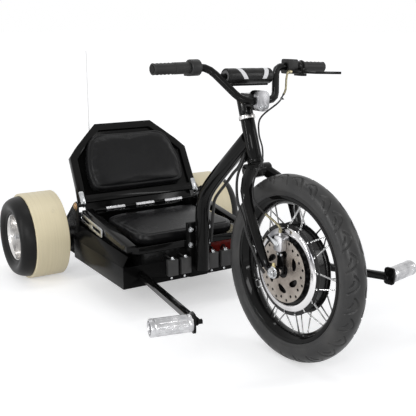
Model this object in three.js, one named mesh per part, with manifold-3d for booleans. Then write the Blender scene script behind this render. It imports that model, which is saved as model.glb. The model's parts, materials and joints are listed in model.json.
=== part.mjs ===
// A low three-wheeled drift trike in millimetres, +Z up, +X to the rider's left, -Y forward.
// Its origin is on the ground under the middle of its length.
import * as THREE from "three";
import { mergeVertices } from "three/addons/utils/BufferGeometryUtils.js";
import Module from "manifold-3d";

// Fits between pieces that touch or turn
const seat_gap = 0.3;
const running_gap = 0.6;
const cut_overrun = 2;

// Wheels and wheelbase
const wheelbase = 1087;
const front_radius = 267;
const rear_radius = 160;
const front_axle_height = front_radius;
const rear_axle_height = rear_radius;

// Front tyre and rim
const tyre_half_width = 35;
const tyre_bead_half_width = 28;
const rim_lip_radius = 209;
const rim_bed_radius = 203;
const rim_inner_radius = 184;
const rim_lip_thickness = 4;
const rim_well_half_width = 9;

// Hub motor and its spokes
const drum_radius = 121;
const drum_half_width = 22;
const flange_radius = 131;
const flange_thickness = 4;
const cover_radius = 120;
const cover_step_radius = 102;
const cover_thickness = 5;
const cover_boss_radius = 27;
const cover_boss_end = 36;
const cover_cone_radius = 40;
const spoke_count = 36;
const spoke_radius = 1.5;
const spoke_hole_radius = 127;
const spoke_lean_share = 0.36;

// Brake rotor and its windows
const rotor_radius = 91;
const rotor_thickness = 2;
const rotor_bore_radius = 21;
const rotor_window_inner = 40;
const rotor_window_outer = 66;
const rotor_window_count = 6;
const rotor_hole_circle = 80;
const rotor_hole_radius = 3.2;
const rotor_hole_count = 24;
const rotor_window_share = 0.62;

// Front axle
const axle_radius = 7;
const axle_half_length = 86;
const axle_nut_radius = 14;
const axle_nut_height = 11;
const axle_shoulder_radius = 10.5;
const dropout_half_gap = 63;
const dropout_thickness = 6;
const washer_thickness = 2.5;
const washer_radius = 14;
const washer_tab_width = 10;
const washer_tab_reach = 9;
const dropout_radius = 19;

// Head tube, headset and steerer
const head_top_back = 226;
const head_top_z = 661;
const head_bottom_back = 184;
const head_bottom_z = 551;
const head_tube_radius = 21;
const head_tube_bore = 17.5;
const cup_radius = 24.5;
const cup_height = 12;
const steerer_radius = 14.3;
const steerer_clearance = 0.4;

// The bars and wheel stand turned a little to the left
const steer_rest_degrees = 3.7;

// Fork
const crown_radius = 19;
const crown_half_width = 42;
const leg_top_radius = 18;
const leg_bottom_radius = 12.5;
const leg_knee_x = 82;
const leg_knee_back = 127;
const leg_knee_z = 477;
const leg_mid_x = 80;
const leg_mid_back = 75;
const leg_mid_z = 367;
const leg_foot_x = 71;
const leg_foot_back = 33;
const leg_foot_z = 276;
const leg_bend = 42;
const crown_stub = 42;

// Stem
const stem_radius = 21;
const stem_height = 58;
const stem_bar_radius = 21;
const stem_half_width = 21;
const stem_face_half_height = 29;
const stem_face_corner = 17;
const stem_waist = 5;
const faceplate_bolt_radius = 5;
const faceplate_bolt_spread = 9;
const faceplate_bolt_head = 5;

// Handlebar
const bar_radius = 11.1;
const bar_low_back = 175;
const bar_low_z = 720;
const bar_low_x = 60;
const bar_rise_x = 125;
const bar_rise_back = 255;
const bar_rise_z = 812;
const bar_half_length = 312;
const bar_end_back = 249;
const bar_end_z = 808;
const bar_bend = 31;
const crossbar_radius = 8;
const crossbar_share = 0.72;
const pad_radius = 23;
const pad_end_gap = 26;
const pad_bore_gap = 0.4;
const pad_edge = 4;
const pad_slit = 5;

// Grips and the pieces clamped to the bar
const grip_radius = 16.5;
const grip_flange_radius = 20;
const grip_bore_gap = 0.35;
const twist_start = 192;
const twist_length = 51;
const ribbed_length = 68;
const grip_rib_count = 5;
const grip_rib_height = 1.6;
const throttle_housing_width = 34;
const throttle_housing_radius = 23;
const switch_centre = 178;
const switch_width = 34;
const switch_height = 44;
const switch_depth = 40;
const button_radius = 5.5;
const button_height = 4;
const button_travel = 1.5;
const perch_centre = 208;
const perch_width = 22;
const perch_reach = 34;
const perch_height = 24;
const perch_drop = 15;
const perch_wall = 6;
const perch_slot_floor = 20;
const left_grip_start = 222;
const left_grip_length = 90;
const lever_length = 132;
const lever_height = 11;
const lever_thickness = 8;
const lever_pivot_reach = 30;
const lever_blade_reach = 62;
const lever_pin_radius = 2.5;

// Main frame
const tube_radius = 24;
const tube_head_back = 219;
const tube_head_z = 607;
const tube_mid_share = 0.345;
const tube_mid_z = 464;
const tube_bend_z = 377;
const tube_foot_z = 129;
const tube_bend = 95;
const gusset_thickness = 6;
const gusset_back = 241;
const gusset_z = 529;
const gusset_foot = 6;
const frame_flange_bottom = 197;
const frame_plate_half_width = 46;
const frame_plate_thickness = 5;
const frame_plate_top = 291;
const frame_bolt_x = 33;
const frame_bolt_upper_z = 268;
const frame_bolt_lower_z = 215;
const bolt_head_radius = 7.5;
const bolt_head_height = 6;

// Battery box
const box_half_width = 280;
const box_front_y = -577;
const box_rear_y = -162;
const box_bottom_z = 99;
const box_top_z = 171;
const sheet = 3;
const box_flange = 14;
const wing_front_z = 204;
const wing_rear_z = 220;
const wing_top_x = 259;
const wing_front_gap = 8;
const wing_rear_gap = 20;

// Battery block and motor controller
const battery_half_width = 190;
const battery_front_y = -540;
const battery_rear_y = -300;
const battery_height = 92;
const battery_corner = 12;
const controller_half_width = 88;
const controller_front_y = -280;
const controller_rear_y = -196;
const controller_height = 52;
const controller_fin_count = 7;
const controller_fin_depth = 7;

// Terminal blocks on the box front
const block_width = 38;
const block_height = 56;
const block_depth = 16;
const block_outer_x = 104;
const block_inner_x = 54;
const block_top_z = 175;
const block_screw_radius = 6;
const block_screw_height = 7;

// Seat pan
const pan_half_width = 251;
const pan_rear_y = -196;
const pan_front_z = 208;
const pan_rear_z = 260;
const pan_thickness = 3;
const pan_lip = 22;
const pan_rail_width = 34;
const pan_rail_height = 24;
const pan_corner = 30;
const pan_rail_bevel = 9;
const pan_rail_rise = 22;
const adjuster_length = 200;
const adjuster_height = 34;
const adjuster_thickness = 4;
const adjuster_middle_y = -262;
const adjuster_middle_z = 241;
const adjuster_slope = 0.12;

// Seat cushion
const cushion_half_width = 182;
const cushion_front_y = -524;
const cushion_rear_y = -232;
const cushion_height = 46;
const cushion_crown = 14;
const cushion_corner = 46;
const cushion_draw_in = 9;
const cushion_edge_step = 75;

// Backrest
const pivot_y = -162;
const pivot_z = 289;
const pivot_x = 247;
const pivot_radius = 6;
const back_top_y = -11;
const back_top_z = 561;
const shell_foot_x = 250;
const shell_foot = 10;
const shell_waist_x = 246;
const shell_waist = 71;
const shell_wide_x = 244;
const shell_wide = 189;
const shell_shoulder_x = 211;
const shell_shoulder = 226;
const shell_neck_x = 168;
const shell_neck = 266;
const shell_top_x = 118;
const shell_thickness = 4;
const shell_skirt = 34;
const shell_rim_depth = 22;
const shell_rim_width = 26;
const back_pad_bottom = 46;
const back_pad_top = 262;
const back_pad_low_half_width = 186;
const back_pad_wide_half_width = 194;
const back_pad_top_half_width = 150;
const back_pad_height = 46;
const back_pad_corner = 40;
const back_pad_shoulder = 14;
const back_pad_crown = 13;
const bracket_thickness = 4;
const bracket_half_width = 9;
const bracket_rise = 52;
const bracket_x = 237;

// Hinge rod behind the cushion
const hinge_rod_y = -186;
const hinge_rod_z = 271;
const hinge_rod_radius = 6;
const hinge_sleeve_radius = 9;
const hinge_sleeve_half_length = 38;
const hinge_sleeve_spacing = 122;

// Rear axle plates and rear wheels
const axle_plate_x = 262;
const axle_plate_thickness = 6;
const axle_plate_boss_radius = 32;
const rear_axle_radius = 8;
const rear_axle_half_length = 447;
const sleeve_inner_x = 293;
const sleeve_outer_x = 417;
const sleeve_wall = 9;
const sleeve_edge = 6;
const rear_tyre_bulge = 50;
const rear_tyre_inner_bulge = 9;
const rear_rim_radius = 80;
const rear_rim_dish = 46;
const rear_rim_bead_share = 0.6;
const rear_rim_thickness = 5;
const rear_hub_radius = 26;
const rear_hub_half_length = 52;
const rear_collar_radius = 13;
const rear_nut_radius = 13;
const rear_nut_height = 10;

// Whip mast and its foot on the rear axle
const mast_x = -130;
const mast_y = 14;
const mast_top_z = 834;
const mast_radius = 2.6;
const mast_foot_radius = 7;
const mast_foot_top_z = 212;
const mast_clamp_radius = 16;
const mast_clamp_width = 26;

// Peg arms and foot pegs
const arm_root_x = 217;
const arm_root_z = 139;
const arm_tip_x = 338;
const arm_tip_ahead = 41;
const arm_tip_z = 194;
const arm_side = 22;
const arm_corner = 4;
const arm_root_inside = 60;
const arm_plate_height = 53;
const arm_plate_width = 34;
const arm_plate_thickness = 7;
const peg_radius = 24;
const peg_length = 112;
const peg_slot_count = 11;
const peg_slot_depth = 2.5;

// Caliper
const caliper_width = 32;
const caliper_height = 44;
const caliper_corner = 8;
const caliper_back = 3;
const caliper_z = 346;
const caliper_outer_x = 58;
const caliper_inner_x = 29;
const caliper_cable_x = 50;
const caliper_inlet = 9;
const caliper_piston_rise = 2;
const caliper_bracket_radius = 12;
const caliper_bracket_x = 43;
const caliper_arm_length = 38;
const caliper_arm_lift = 12;
const caliper_arm_thickness = 3;

// Cables
const cable_most_steps = 80;
const cable_step_radii = 6;
const brake_cable_radius = 2.6;
const cable_lead = 12;
const motor_cable_radius = 4;
const loom_radius = 5;

// Places worked out from the sizes above, the front ones from the front axle
const head_top_y = head_top_back - wheelbase;
const head_bottom_y = head_bottom_back - wheelbase;
const leg_knee_y = leg_knee_back - wheelbase;
const leg_mid_y = leg_mid_back - wheelbase;
const leg_foot_y = leg_foot_back - wheelbase;
const bar_low_y = bar_low_back - wheelbase;
const bar_rise_y = bar_rise_back - wheelbase;
const bar_end_y = bar_end_back - wheelbase;
const tube_head_y = tube_head_back - wheelbase;
const gusset_y = gusset_back - wheelbase;
const caliper_y = caliper_back - wheelbase;
const arm_tip_y = -wheelbase - arm_tip_ahead;
const crossbar_z = bar_low_z + crossbar_share * (bar_rise_z - bar_low_z);
const pan_front_y = box_front_y + sheet / 2 + seat_gap;
const middle_y = (wheelbase + front_radius - rear_radius) / 2;
const at = (x, y, z) => new THREE.Vector3(x, y, z);
const head_bottom = at(0, head_bottom_y, head_bottom_z);
const head_top = at(0, head_top_y, head_top_z);
const head_direction = head_top.clone().sub(head_bottom).normalize();
const head_length = head_top.distanceTo(head_bottom);
const alongHead = (distance) => head_bottom.clone().addScaledVector(head_direction, distance);

// Solids: closed geometries joined and cut with manifold-3d
const wasm = await Module();
wasm.setup();

function solidOf(geometry) {
  const bare = geometry.clone();
  bare.deleteAttribute("normal");
  bare.deleteAttribute("uv");
  const merged = mergeVertices(bare);
  const triVerts = new Uint32Array(merged.index.array);
  const vertProperties = merged.attributes.position.array;
  return new wasm.Manifold(new wasm.Mesh({ numProp: 3, vertProperties, triVerts }));
}

function geometryOf(solid) {
  const mesh = solid.getMesh();
  const geometry = new THREE.BufferGeometry();
  geometry.setAttribute("position", new THREE.BufferAttribute(mesh.vertProperties, 3));
  geometry.setIndex(new THREE.BufferAttribute(mesh.triVerts, 1));
  return geometry;
}

function join(parts) {
  return geometryOf(parts.map(solidOf).reduce((whole, part) => whole.add(part)));
}

function cut(body, tools) {
  return geometryOf(tools.map(solidOf).reduce((left, tool) => left.subtract(tool), solidOf(body)));
}

// A box between two corners
function block(x0, x1, y0, y1, z0, z1) {
  const geometry = new THREE.BoxGeometry(x1 - x0, y1 - y0, z1 - z0);
  return geometry.translate((x0 + x1) / 2, (y0 + y1) / 2, (z0 + z1) / 2);
}

// A round bar or cone between two points
function rod(from, to, radius, sides = 16, endRadius = radius) {
  const axis = to.clone().sub(from);
  const geometry = new THREE.CylinderGeometry(endRadius, radius, axis.length(), sides);
  const turn = new THREE.Quaternion().setFromUnitVectors(at(0, 1, 0), axis.clone().normalize());
  geometry.applyQuaternion(turn);
  return geometry.translate(...from.clone().add(to).divideScalar(2).toArray());
}

// A revolve about the X axis of a closed outline of [radius, x] points
function revolve(outline, segments) {
  const points = outline.map(([radius, x]) => new THREE.Vector2(radius, x));
  if (THREE.ShapeUtils.isClockWise(points)) points.reverse();
  points.push(points[0].clone());
  return new THREE.LatheGeometry(points, segments).rotateZ(-Math.PI / 2);
}

// An outline that is alike on both sides, from the points of its +X side
function bothSides(half) {
  return [...half, ...half.map(([radius, x]) => [radius, -x]).reverse()];
}

// A flat plate of an outline of [a, b] points, drawn in XY and raised along Z
function plate(outline, thickness, holes = []) {
  const shape = new THREE.Shape(outline.map(([a, b]) => new THREE.Vector2(a, b)));
  shape.holes = holes.map((hole) => new THREE.Path(hole.map(([a, b]) => new THREE.Vector2(a, b))));
  return new THREE.ExtrudeGeometry(shape, { depth: thickness, bevelEnabled: false });
}

// Stands a plate in the YZ plane: its first coordinate runs along Y, its second along Z
function standInYZ(geometry, x) {
  const turn = new THREE.Matrix4().makeBasis(at(0, 1, 0), at(0, 0, 1), at(1, 0, 0));
  return geometry.applyMatrix4(turn).translate(x, 0, 0);
}

// Stands a plate in the XZ plane facing -Y: its first coordinate runs along X, its second along Z
function standInXZ(geometry, y) {
  const turn = new THREE.Matrix4().makeBasis(at(1, 0, 0), at(0, 0, 1), at(0, -1, 0));
  return geometry.applyMatrix4(turn).translate(0, y, 0);
}

// Points on a circle, for outlines and holes
function ring(radius, sides, a = 0, b = 0, start = 0) {
  return Array.from({ length: sides }, (_, index) => {
    const angle = start + (index / sides) * 2 * Math.PI;
    return [a + radius * Math.cos(angle), b + radius * Math.sin(angle)];
  });
}

// A rectangle with round corners about a centre
function roundedOutline(half_a, half_b, corner, steps = 4, a = 0, b = 0) {
  const quarter = Math.PI / 2;
  return [0, 1, 2, 3].flatMap((side) => {
    const centre_a = a + (side === 0 || side === 3 ? half_a - corner : corner - half_a);
    const centre_b = b + (side < 2 ? half_b - corner : corner - half_b);
    return Array.from({ length: steps + 1 }, (_, index) => {
      const angle = (side + index / steps) * quarter;
      return [centre_a + corner * Math.cos(angle), centre_b + corner * Math.sin(angle)];
    });
  });
}

// A path of straight runs with round bends, whose steps lie where it bends
class BentPath extends THREE.Curve {
  constructor(knots) {
    super();
    this.knots = knots;
  }
  getUtoTmapping(share) {
    return share;
  }
  getPoint(share, target = new THREE.Vector3()) {
    const place = Math.min(Math.max(share, 0), 1) * (this.knots.length - 1);
    const index = Math.min(Math.floor(place), this.knots.length - 2);
    return target.lerpVectors(this.knots[index], this.knots[index + 1], place - index);
  }
}

// The knots of a line through corners, each rounded from a set distance before it
function bentKnots(corners, bend, steps = 4) {
  const knots = [corners[0]];
  for (let index = 1; index < corners.length - 1; index++) {
    const corner = corners[index];
    const before = corners[index - 1].clone().sub(corner);
    const after = corners[index + 1].clone().sub(corner);
    const reach = Math.min(bend, before.length() / 2, after.length() / 2);
    const start = corner.clone().addScaledVector(before.normalize(), reach);
    const end = corner.clone().addScaledVector(after.normalize(), reach);
    const arc = new THREE.QuadraticBezierCurve3(start, corner, end);
    knots.push(...arc.getPoints(steps));
  }
  knots.push(corners[corners.length - 1]);
  return knots.filter((knot, index) => !index || knot.distanceTo(knots[index - 1]) > seat_gap);
}

function circleShape(radius, sides) {
  return new THREE.Shape(ring(radius, sides).map(([a, b]) => new THREE.Vector2(a, b)));
}

// A bent tube through corners
function tube(corners, radius, bend, sides = 16, steps = 4) {
  const knots = bentKnots(corners, bend, steps);
  const options = { steps: knots.length - 1, extrudePath: new BentPath(knots), bevelEnabled: false };
  return new THREE.ExtrudeGeometry(circleShape(radius, sides), options);
}

// A cable: a smooth curve through its points, stepped about every three diameters
function cable(points, radius, sides) {
  const path = new THREE.CatmullRomCurve3(points, false, "centripetal");
  const steps = Math.min(cable_most_steps, Math.ceil(path.getLength() / (radius * cable_step_radii)));
  const options = { steps, extrudePath: path, bevelEnabled: false };
  return new THREE.ExtrudeGeometry(circleShape(radius, sides), options);
}

// A skin through rings of equal numbers of points, closed at both ends
function loft(rings) {
  const sides = rings[0].length;
  const middle = (points) =>
    points.reduce((sum, point) => sum.add(point), at(0, 0, 0)).divideScalar(points.length);
  const points = [...rings.flat(), middle(rings[0]), middle(rings[rings.length - 1])];
  const faces = [];
  for (let row = 0; row < rings.length - 1; row++) {
    for (let side = 0; side < sides; side++) {
      const next = (side + 1) % sides;
      const low = row * sides;
      const high = low + sides;
      faces.push(low + side, low + next, high + next, low + side, high + next, high + side);
    }
  }
  const last = (rings.length - 1) * sides;
  const start_middle = rings.length * sides;
  for (let side = 0; side < sides; side++) {
    const next = (side + 1) % sides;
    faces.push(start_middle, next, side, start_middle + 1, last + side, last + next);
  }
  const geometry = new THREE.BufferGeometry().setFromPoints(points);
  return geometry.setIndex(faces);
}

// A tube whose radius changes from its first knot to its last
function taperedTube(corners, startRadius, endRadius, bend, sides = 10, steps = 2) {
  const knots = bentKnots(corners, bend, steps);
  const path = new BentPath(knots);
  const frames = path.computeFrenetFrames(knots.length - 1, false);
  return loft(
    knots.map((knot, index) => {
      const radius = startRadius + ((endRadius - startRadius) * index) / (knots.length - 1);
      return ring(radius, sides).map(([a, b]) =>
        knot.clone().addScaledVector(frames.normals[index], a).addScaledVector(frames.binormals[index], b),
      );
    }),
  );
}

// Finishes
function finish(color, roughness, metalness) {
  return new THREE.MeshStandardMaterial({ color, roughness, metalness });
}
const gloss_black = finish(0x0b0b0c, 0.22, 0.1);
const satin_black = finish(0x121214, 0.45, 0.1);
const vinyl = finish(0x0d0d0f, 0.35, 0);
const rubber = finish(0x161617, 0.75, 0);
const soft_black = finish(0x131314, 0.6, 0);
const polished = finish(0xc9cacc, 0.2, 1);
const zinc = finish(0xb9b7ad, 0.35, 1);
const cast_alloy = finish(0xb4b6b8, 0.45, 0.9);
const rotor_steel = finish(0xa39a8f, 0.35, 1);
const cream_plastic = finish(0xd8cda4, 0.4, 0);
const wrap_red = finish(0x4a1512, 0.4, 0);
const mast_white = finish(0xd9d9d6, 0.4, 0);

function piece(name, geometry, material) {
  const mesh = new THREE.Mesh(geometry, material);
  mesh.name = name;
  return mesh;
}

function group(pieces, x = 0, y = 0, z = 0) {
  const made = new THREE.Group();
  made.add(...pieces);
  made.position.set(x, y, z);
  return made;
}

// Front wheel, drawn about its own axle along X
const wheel_segments = 36;
const hub_segments = 24;
const rear_segments = 30;
const tyre_shares = [
  [0.2, 0.96], [0.45, 1], [0.72, 0.88], [0.92, 0.52],
];

function frontTyre() {
  const rise = front_radius - rim_lip_radius - seat_gap;
  const lip_inside = tyre_bead_half_width - rim_lip_thickness - seat_gap;
  const foot = rim_lip_radius + seat_gap;
  const bead = [[rim_bed_radius + seat_gap, lip_inside], [foot, lip_inside], [foot, tyre_bead_half_width]];
  const side = tyre_shares.map(([up, out]) => [foot + rise * up, tyre_half_width * out]);
  return revolve(bothSides([...bead, ...side, [front_radius, 0]]).filter(uniquePoint), wheel_segments);
}

function uniquePoint([a, b], index, all) {
  const [before_a, before_b] = all[(index + all.length - 1) % all.length];
  return index === 0 || Math.hypot(a - before_a, b - before_b) > 0;
}

function frontRim() {
  const lip_inside = tyre_bead_half_width - rim_lip_thickness;
  const wall = rim_lip_thickness;
  return revolve(
    bothSides([
      [rim_inner_radius, rim_well_half_width],
      [rim_bed_radius - wall, tyre_bead_half_width],
      [rim_lip_radius, tyre_bead_half_width],
      [rim_lip_radius, lip_inside],
      [rim_bed_radius, lip_inside],
    ]),
    wheel_segments,
  );
}

// The motor drum between two flanges, laced with crossed spokes that end just inside the rim
function hubMotor() {
  const bore = axle_radius + running_gap;
  const inside = drum_half_width - flange_thickness;
  const drum = revolve(
    bothSides([
      [bore, drum_half_width], [flange_radius, drum_half_width], [flange_radius, inside],
      [drum_radius, inside],
    ]),
    hub_segments,
  );
  const pitch = (2 * Math.PI) / spoke_count;
  const spoke_end = rim_inner_radius * Math.cos(Math.PI / wheel_segments) - seat_gap - spoke_radius / 2;
  const spokes = Array.from({ length: spoke_count }, (_, index) => {
    const side = index % 2 ? 1 : -1;
    const lean = (Math.floor(index / 2) % 2 ? 1 : -1) * spoke_lean_share;
    const start_angle = index * pitch;
    const end_angle = start_angle + lean;
    const x = side * (drum_half_width - flange_thickness / 2);
    const start = polar(x, spoke_hole_radius, start_angle);
    const end = polar(0, spoke_end, end_angle);
    return rod(start, end, spoke_radius, 3);
  });
  return join([drum, ...spokes]);
}

// A point about the X axis
function polar(x, radius, angle) {
  return at(x, radius * Math.sin(angle), radius * Math.cos(angle));
}

// A side cover of the motor: an outer ring, a step down to the painted face and a boss round the axle
function motorCover(side) {
  const foot = drum_half_width + seat_gap;
  const face = foot + cover_thickness;
  const profile = [
    [axle_radius + running_gap, foot],
    [axle_radius + running_gap, cover_boss_end],
    [cover_boss_radius, cover_boss_end],
    [cover_boss_radius, face + cover_thickness],
    [cover_cone_radius, face + cover_thickness / 2],
    [cover_step_radius - cover_thickness, face - cover_thickness / 2],
    [cover_step_radius, face],
    [cover_radius, face - cover_thickness / 2],
    [cover_radius, foot],
  ];
  return revolve(profile.map(([radius, x]) => [radius, side * x]), hub_segments);
}

// A brake disc with a ring of round holes and windows cut between its arms
function brakeRotor() {
  const turn = (2 * Math.PI) / rotor_window_count;
  const half = (turn * rotor_window_share) / 2;
  const windows = Array.from({ length: rotor_window_count }, (_, index) => {
    const middle = index * turn;
    const outer = [-1, 0, 1].map((share) => middle + half * share);
    const points = outer.map((angle) => onCircle(rotor_window_outer, angle));
    return [...points, onCircle(rotor_window_inner, middle + half), onCircle(rotor_window_inner, middle)];
  });
  const holes = Array.from({ length: rotor_hole_count }, (_, index) => {
    const angle = (index / rotor_hole_count) * 2 * Math.PI;
    const wobble = index % 2 ? rotor_hole_radius : -rotor_hole_radius;
    const [a, b] = onCircle(rotor_hole_circle + wobble, angle);
    return ring(rotor_hole_radius, 4, a, b);
  });
  const disc = plate(
    ring(rotor_radius, hub_segments), rotor_thickness, [ring(rotor_bore_radius, 12), ...windows, ...holes],
  );
  return standInYZ(disc, -(cover_boss_end + seat_gap + rotor_thickness));
}

function onCircle(radius, angle) {
  return [radius * Math.cos(angle), radius * Math.sin(angle)];
}

// Rear wheel, drawn about the rear axle with its outer side towards +X
function rearSleeve() {
  const outer = rear_radius;
  const inner = rear_radius - sleeve_wall;
  const bevel = sleeve_edge / 2;
  return revolve(
    [
      [inner, sleeve_inner_x],
      [outer, sleeve_inner_x],
      [outer, sleeve_outer_x - bevel],
      [outer - bevel, sleeve_outer_x],
      [inner, sleeve_outer_x],
    ],
    rear_segments,
  );
}

const rear_tyre_shares = [[0, rear_rim_bead_share], [0.4, 1], [0.85, 0.7]];

function rearTyre() {
  const outer = rear_radius - sleeve_wall - seat_gap;
  const inner = (rear_rim_radius + rear_rim_thickness + seat_gap) / Math.cos(Math.PI / rear_segments);
  const bulged = (x, bulge) =>
    rear_tyre_shares.map(([up, out]) => [inner + (outer - inner) * up, x + bulge * out]);
  const outside = bulged(sleeve_outer_x, rear_tyre_bulge);
  const inside = bulged(sleeve_inner_x, -rear_tyre_inner_bulge);
  const crown = [[outer, sleeve_outer_x], [outer, sleeve_inner_x]];
  return revolve([...outside, ...crown, ...inside.reverse()], rear_segments);
}

function rearBarrelEnd() {
  return sleeve_outer_x + rear_tyre_bulge * rear_rim_bead_share;
}

function rearHubStart() {
  return rearBarrelEnd() - rear_rim_dish - 2 * rear_hub_half_length;
}

// A dished rim: barrel, web and hub in one casting
function rearRim() {
  const outer = rear_rim_radius + rear_rim_thickness;
  const barrel_end = rearBarrelEnd();
  const web = barrel_end - rear_rim_dish;
  const hub_start = rearHubStart();
  const bore = rear_axle_radius + running_gap;
  return revolve(
    [
      [bore, hub_start],
      [rear_hub_radius, hub_start],
      [rear_hub_radius, web - rear_rim_thickness],
      [rear_rim_radius, web - rear_rim_thickness],
      [rear_rim_radius, sleeve_inner_x],
      [outer, sleeve_inner_x],
      [outer, barrel_end],
      [rear_rim_radius, barrel_end],
      [rear_rim_radius - rear_rim_thickness, web],
      [rear_hub_radius, web],
      [rear_hub_radius - rear_rim_thickness, web + rear_rim_thickness],
      [bore, web + rear_rim_thickness],
    ],
    hub_segments,
  );
}

// Front axle: a stepped rod whose shoulders meet the dropouts, with tabbed washers and nuts outside them
function frontAxle() {
  const end = axle_half_length;
  const shoulder = dropout_half_gap - seat_gap;
  const boss = cover_boss_end + rotor_thickness + 2 * running_gap;
  const outline = [[0, end], [axle_radius, end], [axle_radius, shoulder], [axle_shoulder_radius, shoulder]];
  const half = [...outline, [axle_shoulder_radius, boss], [axle_radius, boss]];
  const washer_start = dropout_half_gap + dropout_thickness + seat_gap;
  const nut_start = washer_start + washer_thickness;
  const fasteners = [-1, 1].flatMap((side) => {
    const nut = rod(
      at(side * (nut_start - seat_gap), 0, 0),
      at(side * (nut_start + axle_nut_height), 0, 0),
      axle_nut_radius,
      6,
    );
    return [nut, torqueWasher(side > 0 ? washer_start : -nut_start)];
  });
  return join([revolve(bothSides(half), 10), ...fasteners]);
}

// A washer with a tab that hooks up beside the dropout
function torqueWasher(x) {
  const tab = washer_tab_width / 2;
  const reach = washer_radius + washer_tab_reach;
  const disc = plate(ring(washer_radius, 10), washer_thickness);
  const hook = plate([[-tab, tab], [tab, tab], [tab, reach], [-tab, reach]], washer_thickness);
  return standInYZ(join([disc, hook]), x);
}

// The outline round two circles: a link
function linkOutline(a0, b0, r0, a1, b1, r1, sides = 12) {
  const lean = Math.atan2(b1 - b0, a1 - a0);
  const arc = (a, b, radius, start) =>
    Array.from({ length: sides + 1 }, (_, index) => {
      const angle = start + (index / sides) * Math.PI;
      return [a + radius * Math.cos(angle), b + radius * Math.sin(angle)];
    });
  return [...arc(a0, b0, r0, lean + Math.PI / 2), ...arc(a1, b1, r1, lean - Math.PI / 2)];
}

// Fork: steerer, crown tube, two bent tapered legs and the dropout plates that hold the axle
function fork() {
  const crown = alongHead(-cup_height - seat_gap - crown_radius);
  const steerer_end = alongHead(head_length + cup_height + stem_height);
  const steerer = rod(crown, steerer_end, steerer_radius, 14);
  const bar = rod(
    crown.clone().setX(-crown_half_width), crown.clone().setX(crown_half_width), crown_radius, 14,
  );
  const stub = rod(crown, alongHead(-cup_height - crown_stub), steerer_radius + sheet, 10);
  const seat = rod(crown, alongHead(-cup_height - seat_gap), cup_radius - sheet, 14);
  const parts = [steerer, bar, stub, seat];
  for (const side of [-1, 1]) {
    const corners = [
      at(side * (crown_half_width - crown_radius), crown.y, crown.z),
      at(side * leg_knee_x, leg_knee_y, leg_knee_z),
      at(side * leg_mid_x, leg_mid_y, leg_mid_z),
      at(side * leg_foot_x, leg_foot_y, leg_foot_z),
    ];
    parts.push(taperedTube(corners, leg_top_radius, leg_bottom_radius, leg_bend));
    const tab = plate(
      linkOutline(
        -wheelbase, front_axle_height, dropout_radius, leg_foot_y, leg_foot_z, leg_bottom_radius, 6,
      ),
      dropout_thickness,
    );
    parts.push(standInYZ(tab, side > 0 ? dropout_half_gap : -dropout_half_gap - dropout_thickness));
  }
  const slot_half = axle_radius + seat_gap;
  const reach = axle_half_length;
  const hole = rod(
    at(-reach, -wheelbase, front_axle_height), at(reach, -wheelbase, front_axle_height), slot_half, 20,
  );
  const slot = block(-reach, reach, -wheelbase - slot_half, -wheelbase + slot_half,
    front_axle_height - dropout_radius - cut_overrun, front_axle_height);
  return cut(join(parts), [hole, slot]);
}

// A ring that presses on one end of the head tube, round the steerer
function headsetCup(start) {
  const outside = rod(alongHead(start), alongHead(start + cup_height - seat_gap), cup_radius, 14);
  const reach = cup_height + cut_overrun;
  return cut(
    outside,
    [rod(alongHead(start - reach), alongHead(start + reach), steerer_radius + steerer_clearance, 14)],
  );
}

// Stem: a clamp round the steerer, an arm and the rear half of the bar clamp
function stemClampStart() {
  return head_length + cup_height + seat_gap;
}

function barClampZone(radius, half) {
  return rod(at(-half, bar_low_y, bar_low_z), at(half, bar_low_y, bar_low_z), radius, 16);
}

function frontHalf(grow = 0) {
  const reach = stem_half_width + cut_overrun;
  const face = bar_low_y - grow;
  return block(-reach, reach, face - 2 * stem_bar_radius, face, bar_low_z - 2 * stem_bar_radius,
    bar_low_z + 2 * stem_bar_radius);
}

function stemFace(depth) {
  const outline = roundedOutline(stem_half_width, stem_face_half_height, stem_face_corner, 4, 0, bar_low_z);
  return plate(outline, depth);
}

function stem() {
  const start = stemClampStart();
  const clamp = rod(alongHead(start), alongHead(start + stem_height - sheet), stem_radius, 16);
  const waist = stem_half_width - stem_waist;
  const rear = alongHead(start + stem_height / 2);
  const low = bar_low_z - stem_bar_radius + sheet;
  const arm = block(-waist, waist, bar_low_y, rear.y, low, bar_low_z + stem_bar_radius - sheet);
  const nose = standInXZ(stemFace(stem_bar_radius), bar_low_y + stem_bar_radius);
  return cut(join([clamp, arm, nose]), [
    rod(alongHead(start - stem_height), alongHead(start + 2 * stem_height), steerer_radius + seat_gap, 14),
    barClampZone(bar_radius + seat_gap, stem_half_width + cut_overrun),
    frontHalf(seat_gap),
  ]);
}

// The front half of the bar clamp, held by two bolts under the bar
function stemFaceplate() {
  const face = bar_low_y - stem_bar_radius;
  const half = standInXZ(stemFace(stem_bar_radius - 2 * seat_gap), bar_low_y - 2 * seat_gap);
  const shell = cut(half, [barClampZone(bar_radius + seat_gap, stem_half_width + cut_overrun)]);
  const bolts = [-1, 1].map((side) => {
    const x = side * faceplate_bolt_spread;
    const z = bar_low_z - bar_radius - faceplate_bolt_radius;
    return rod(
      at(x, face + faceplate_bolt_head, z), at(x, face - faceplate_bolt_head / 2, z),
      faceplate_bolt_radius, 12,
    );
  });
  return join([shell, ...bolts]);
}

// Handlebar with its welded crossbar
function barCorners() {
  const half = [
    at(bar_half_length, bar_end_y, bar_end_z),
    at(bar_rise_x, bar_rise_y, bar_rise_z),
    at(bar_low_x, bar_low_y, bar_low_z),
  ];
  return [...half.map((point) => point.clone().setX(-point.x)), ...half.reverse()];
}

function crossbarEnd() {
  const share = (crossbar_z - bar_low_z) / (bar_rise_z - bar_low_z);
  return at(bar_low_x, bar_low_y, bar_low_z).lerp(at(bar_rise_x, bar_rise_y, bar_rise_z), share);
}

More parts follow.
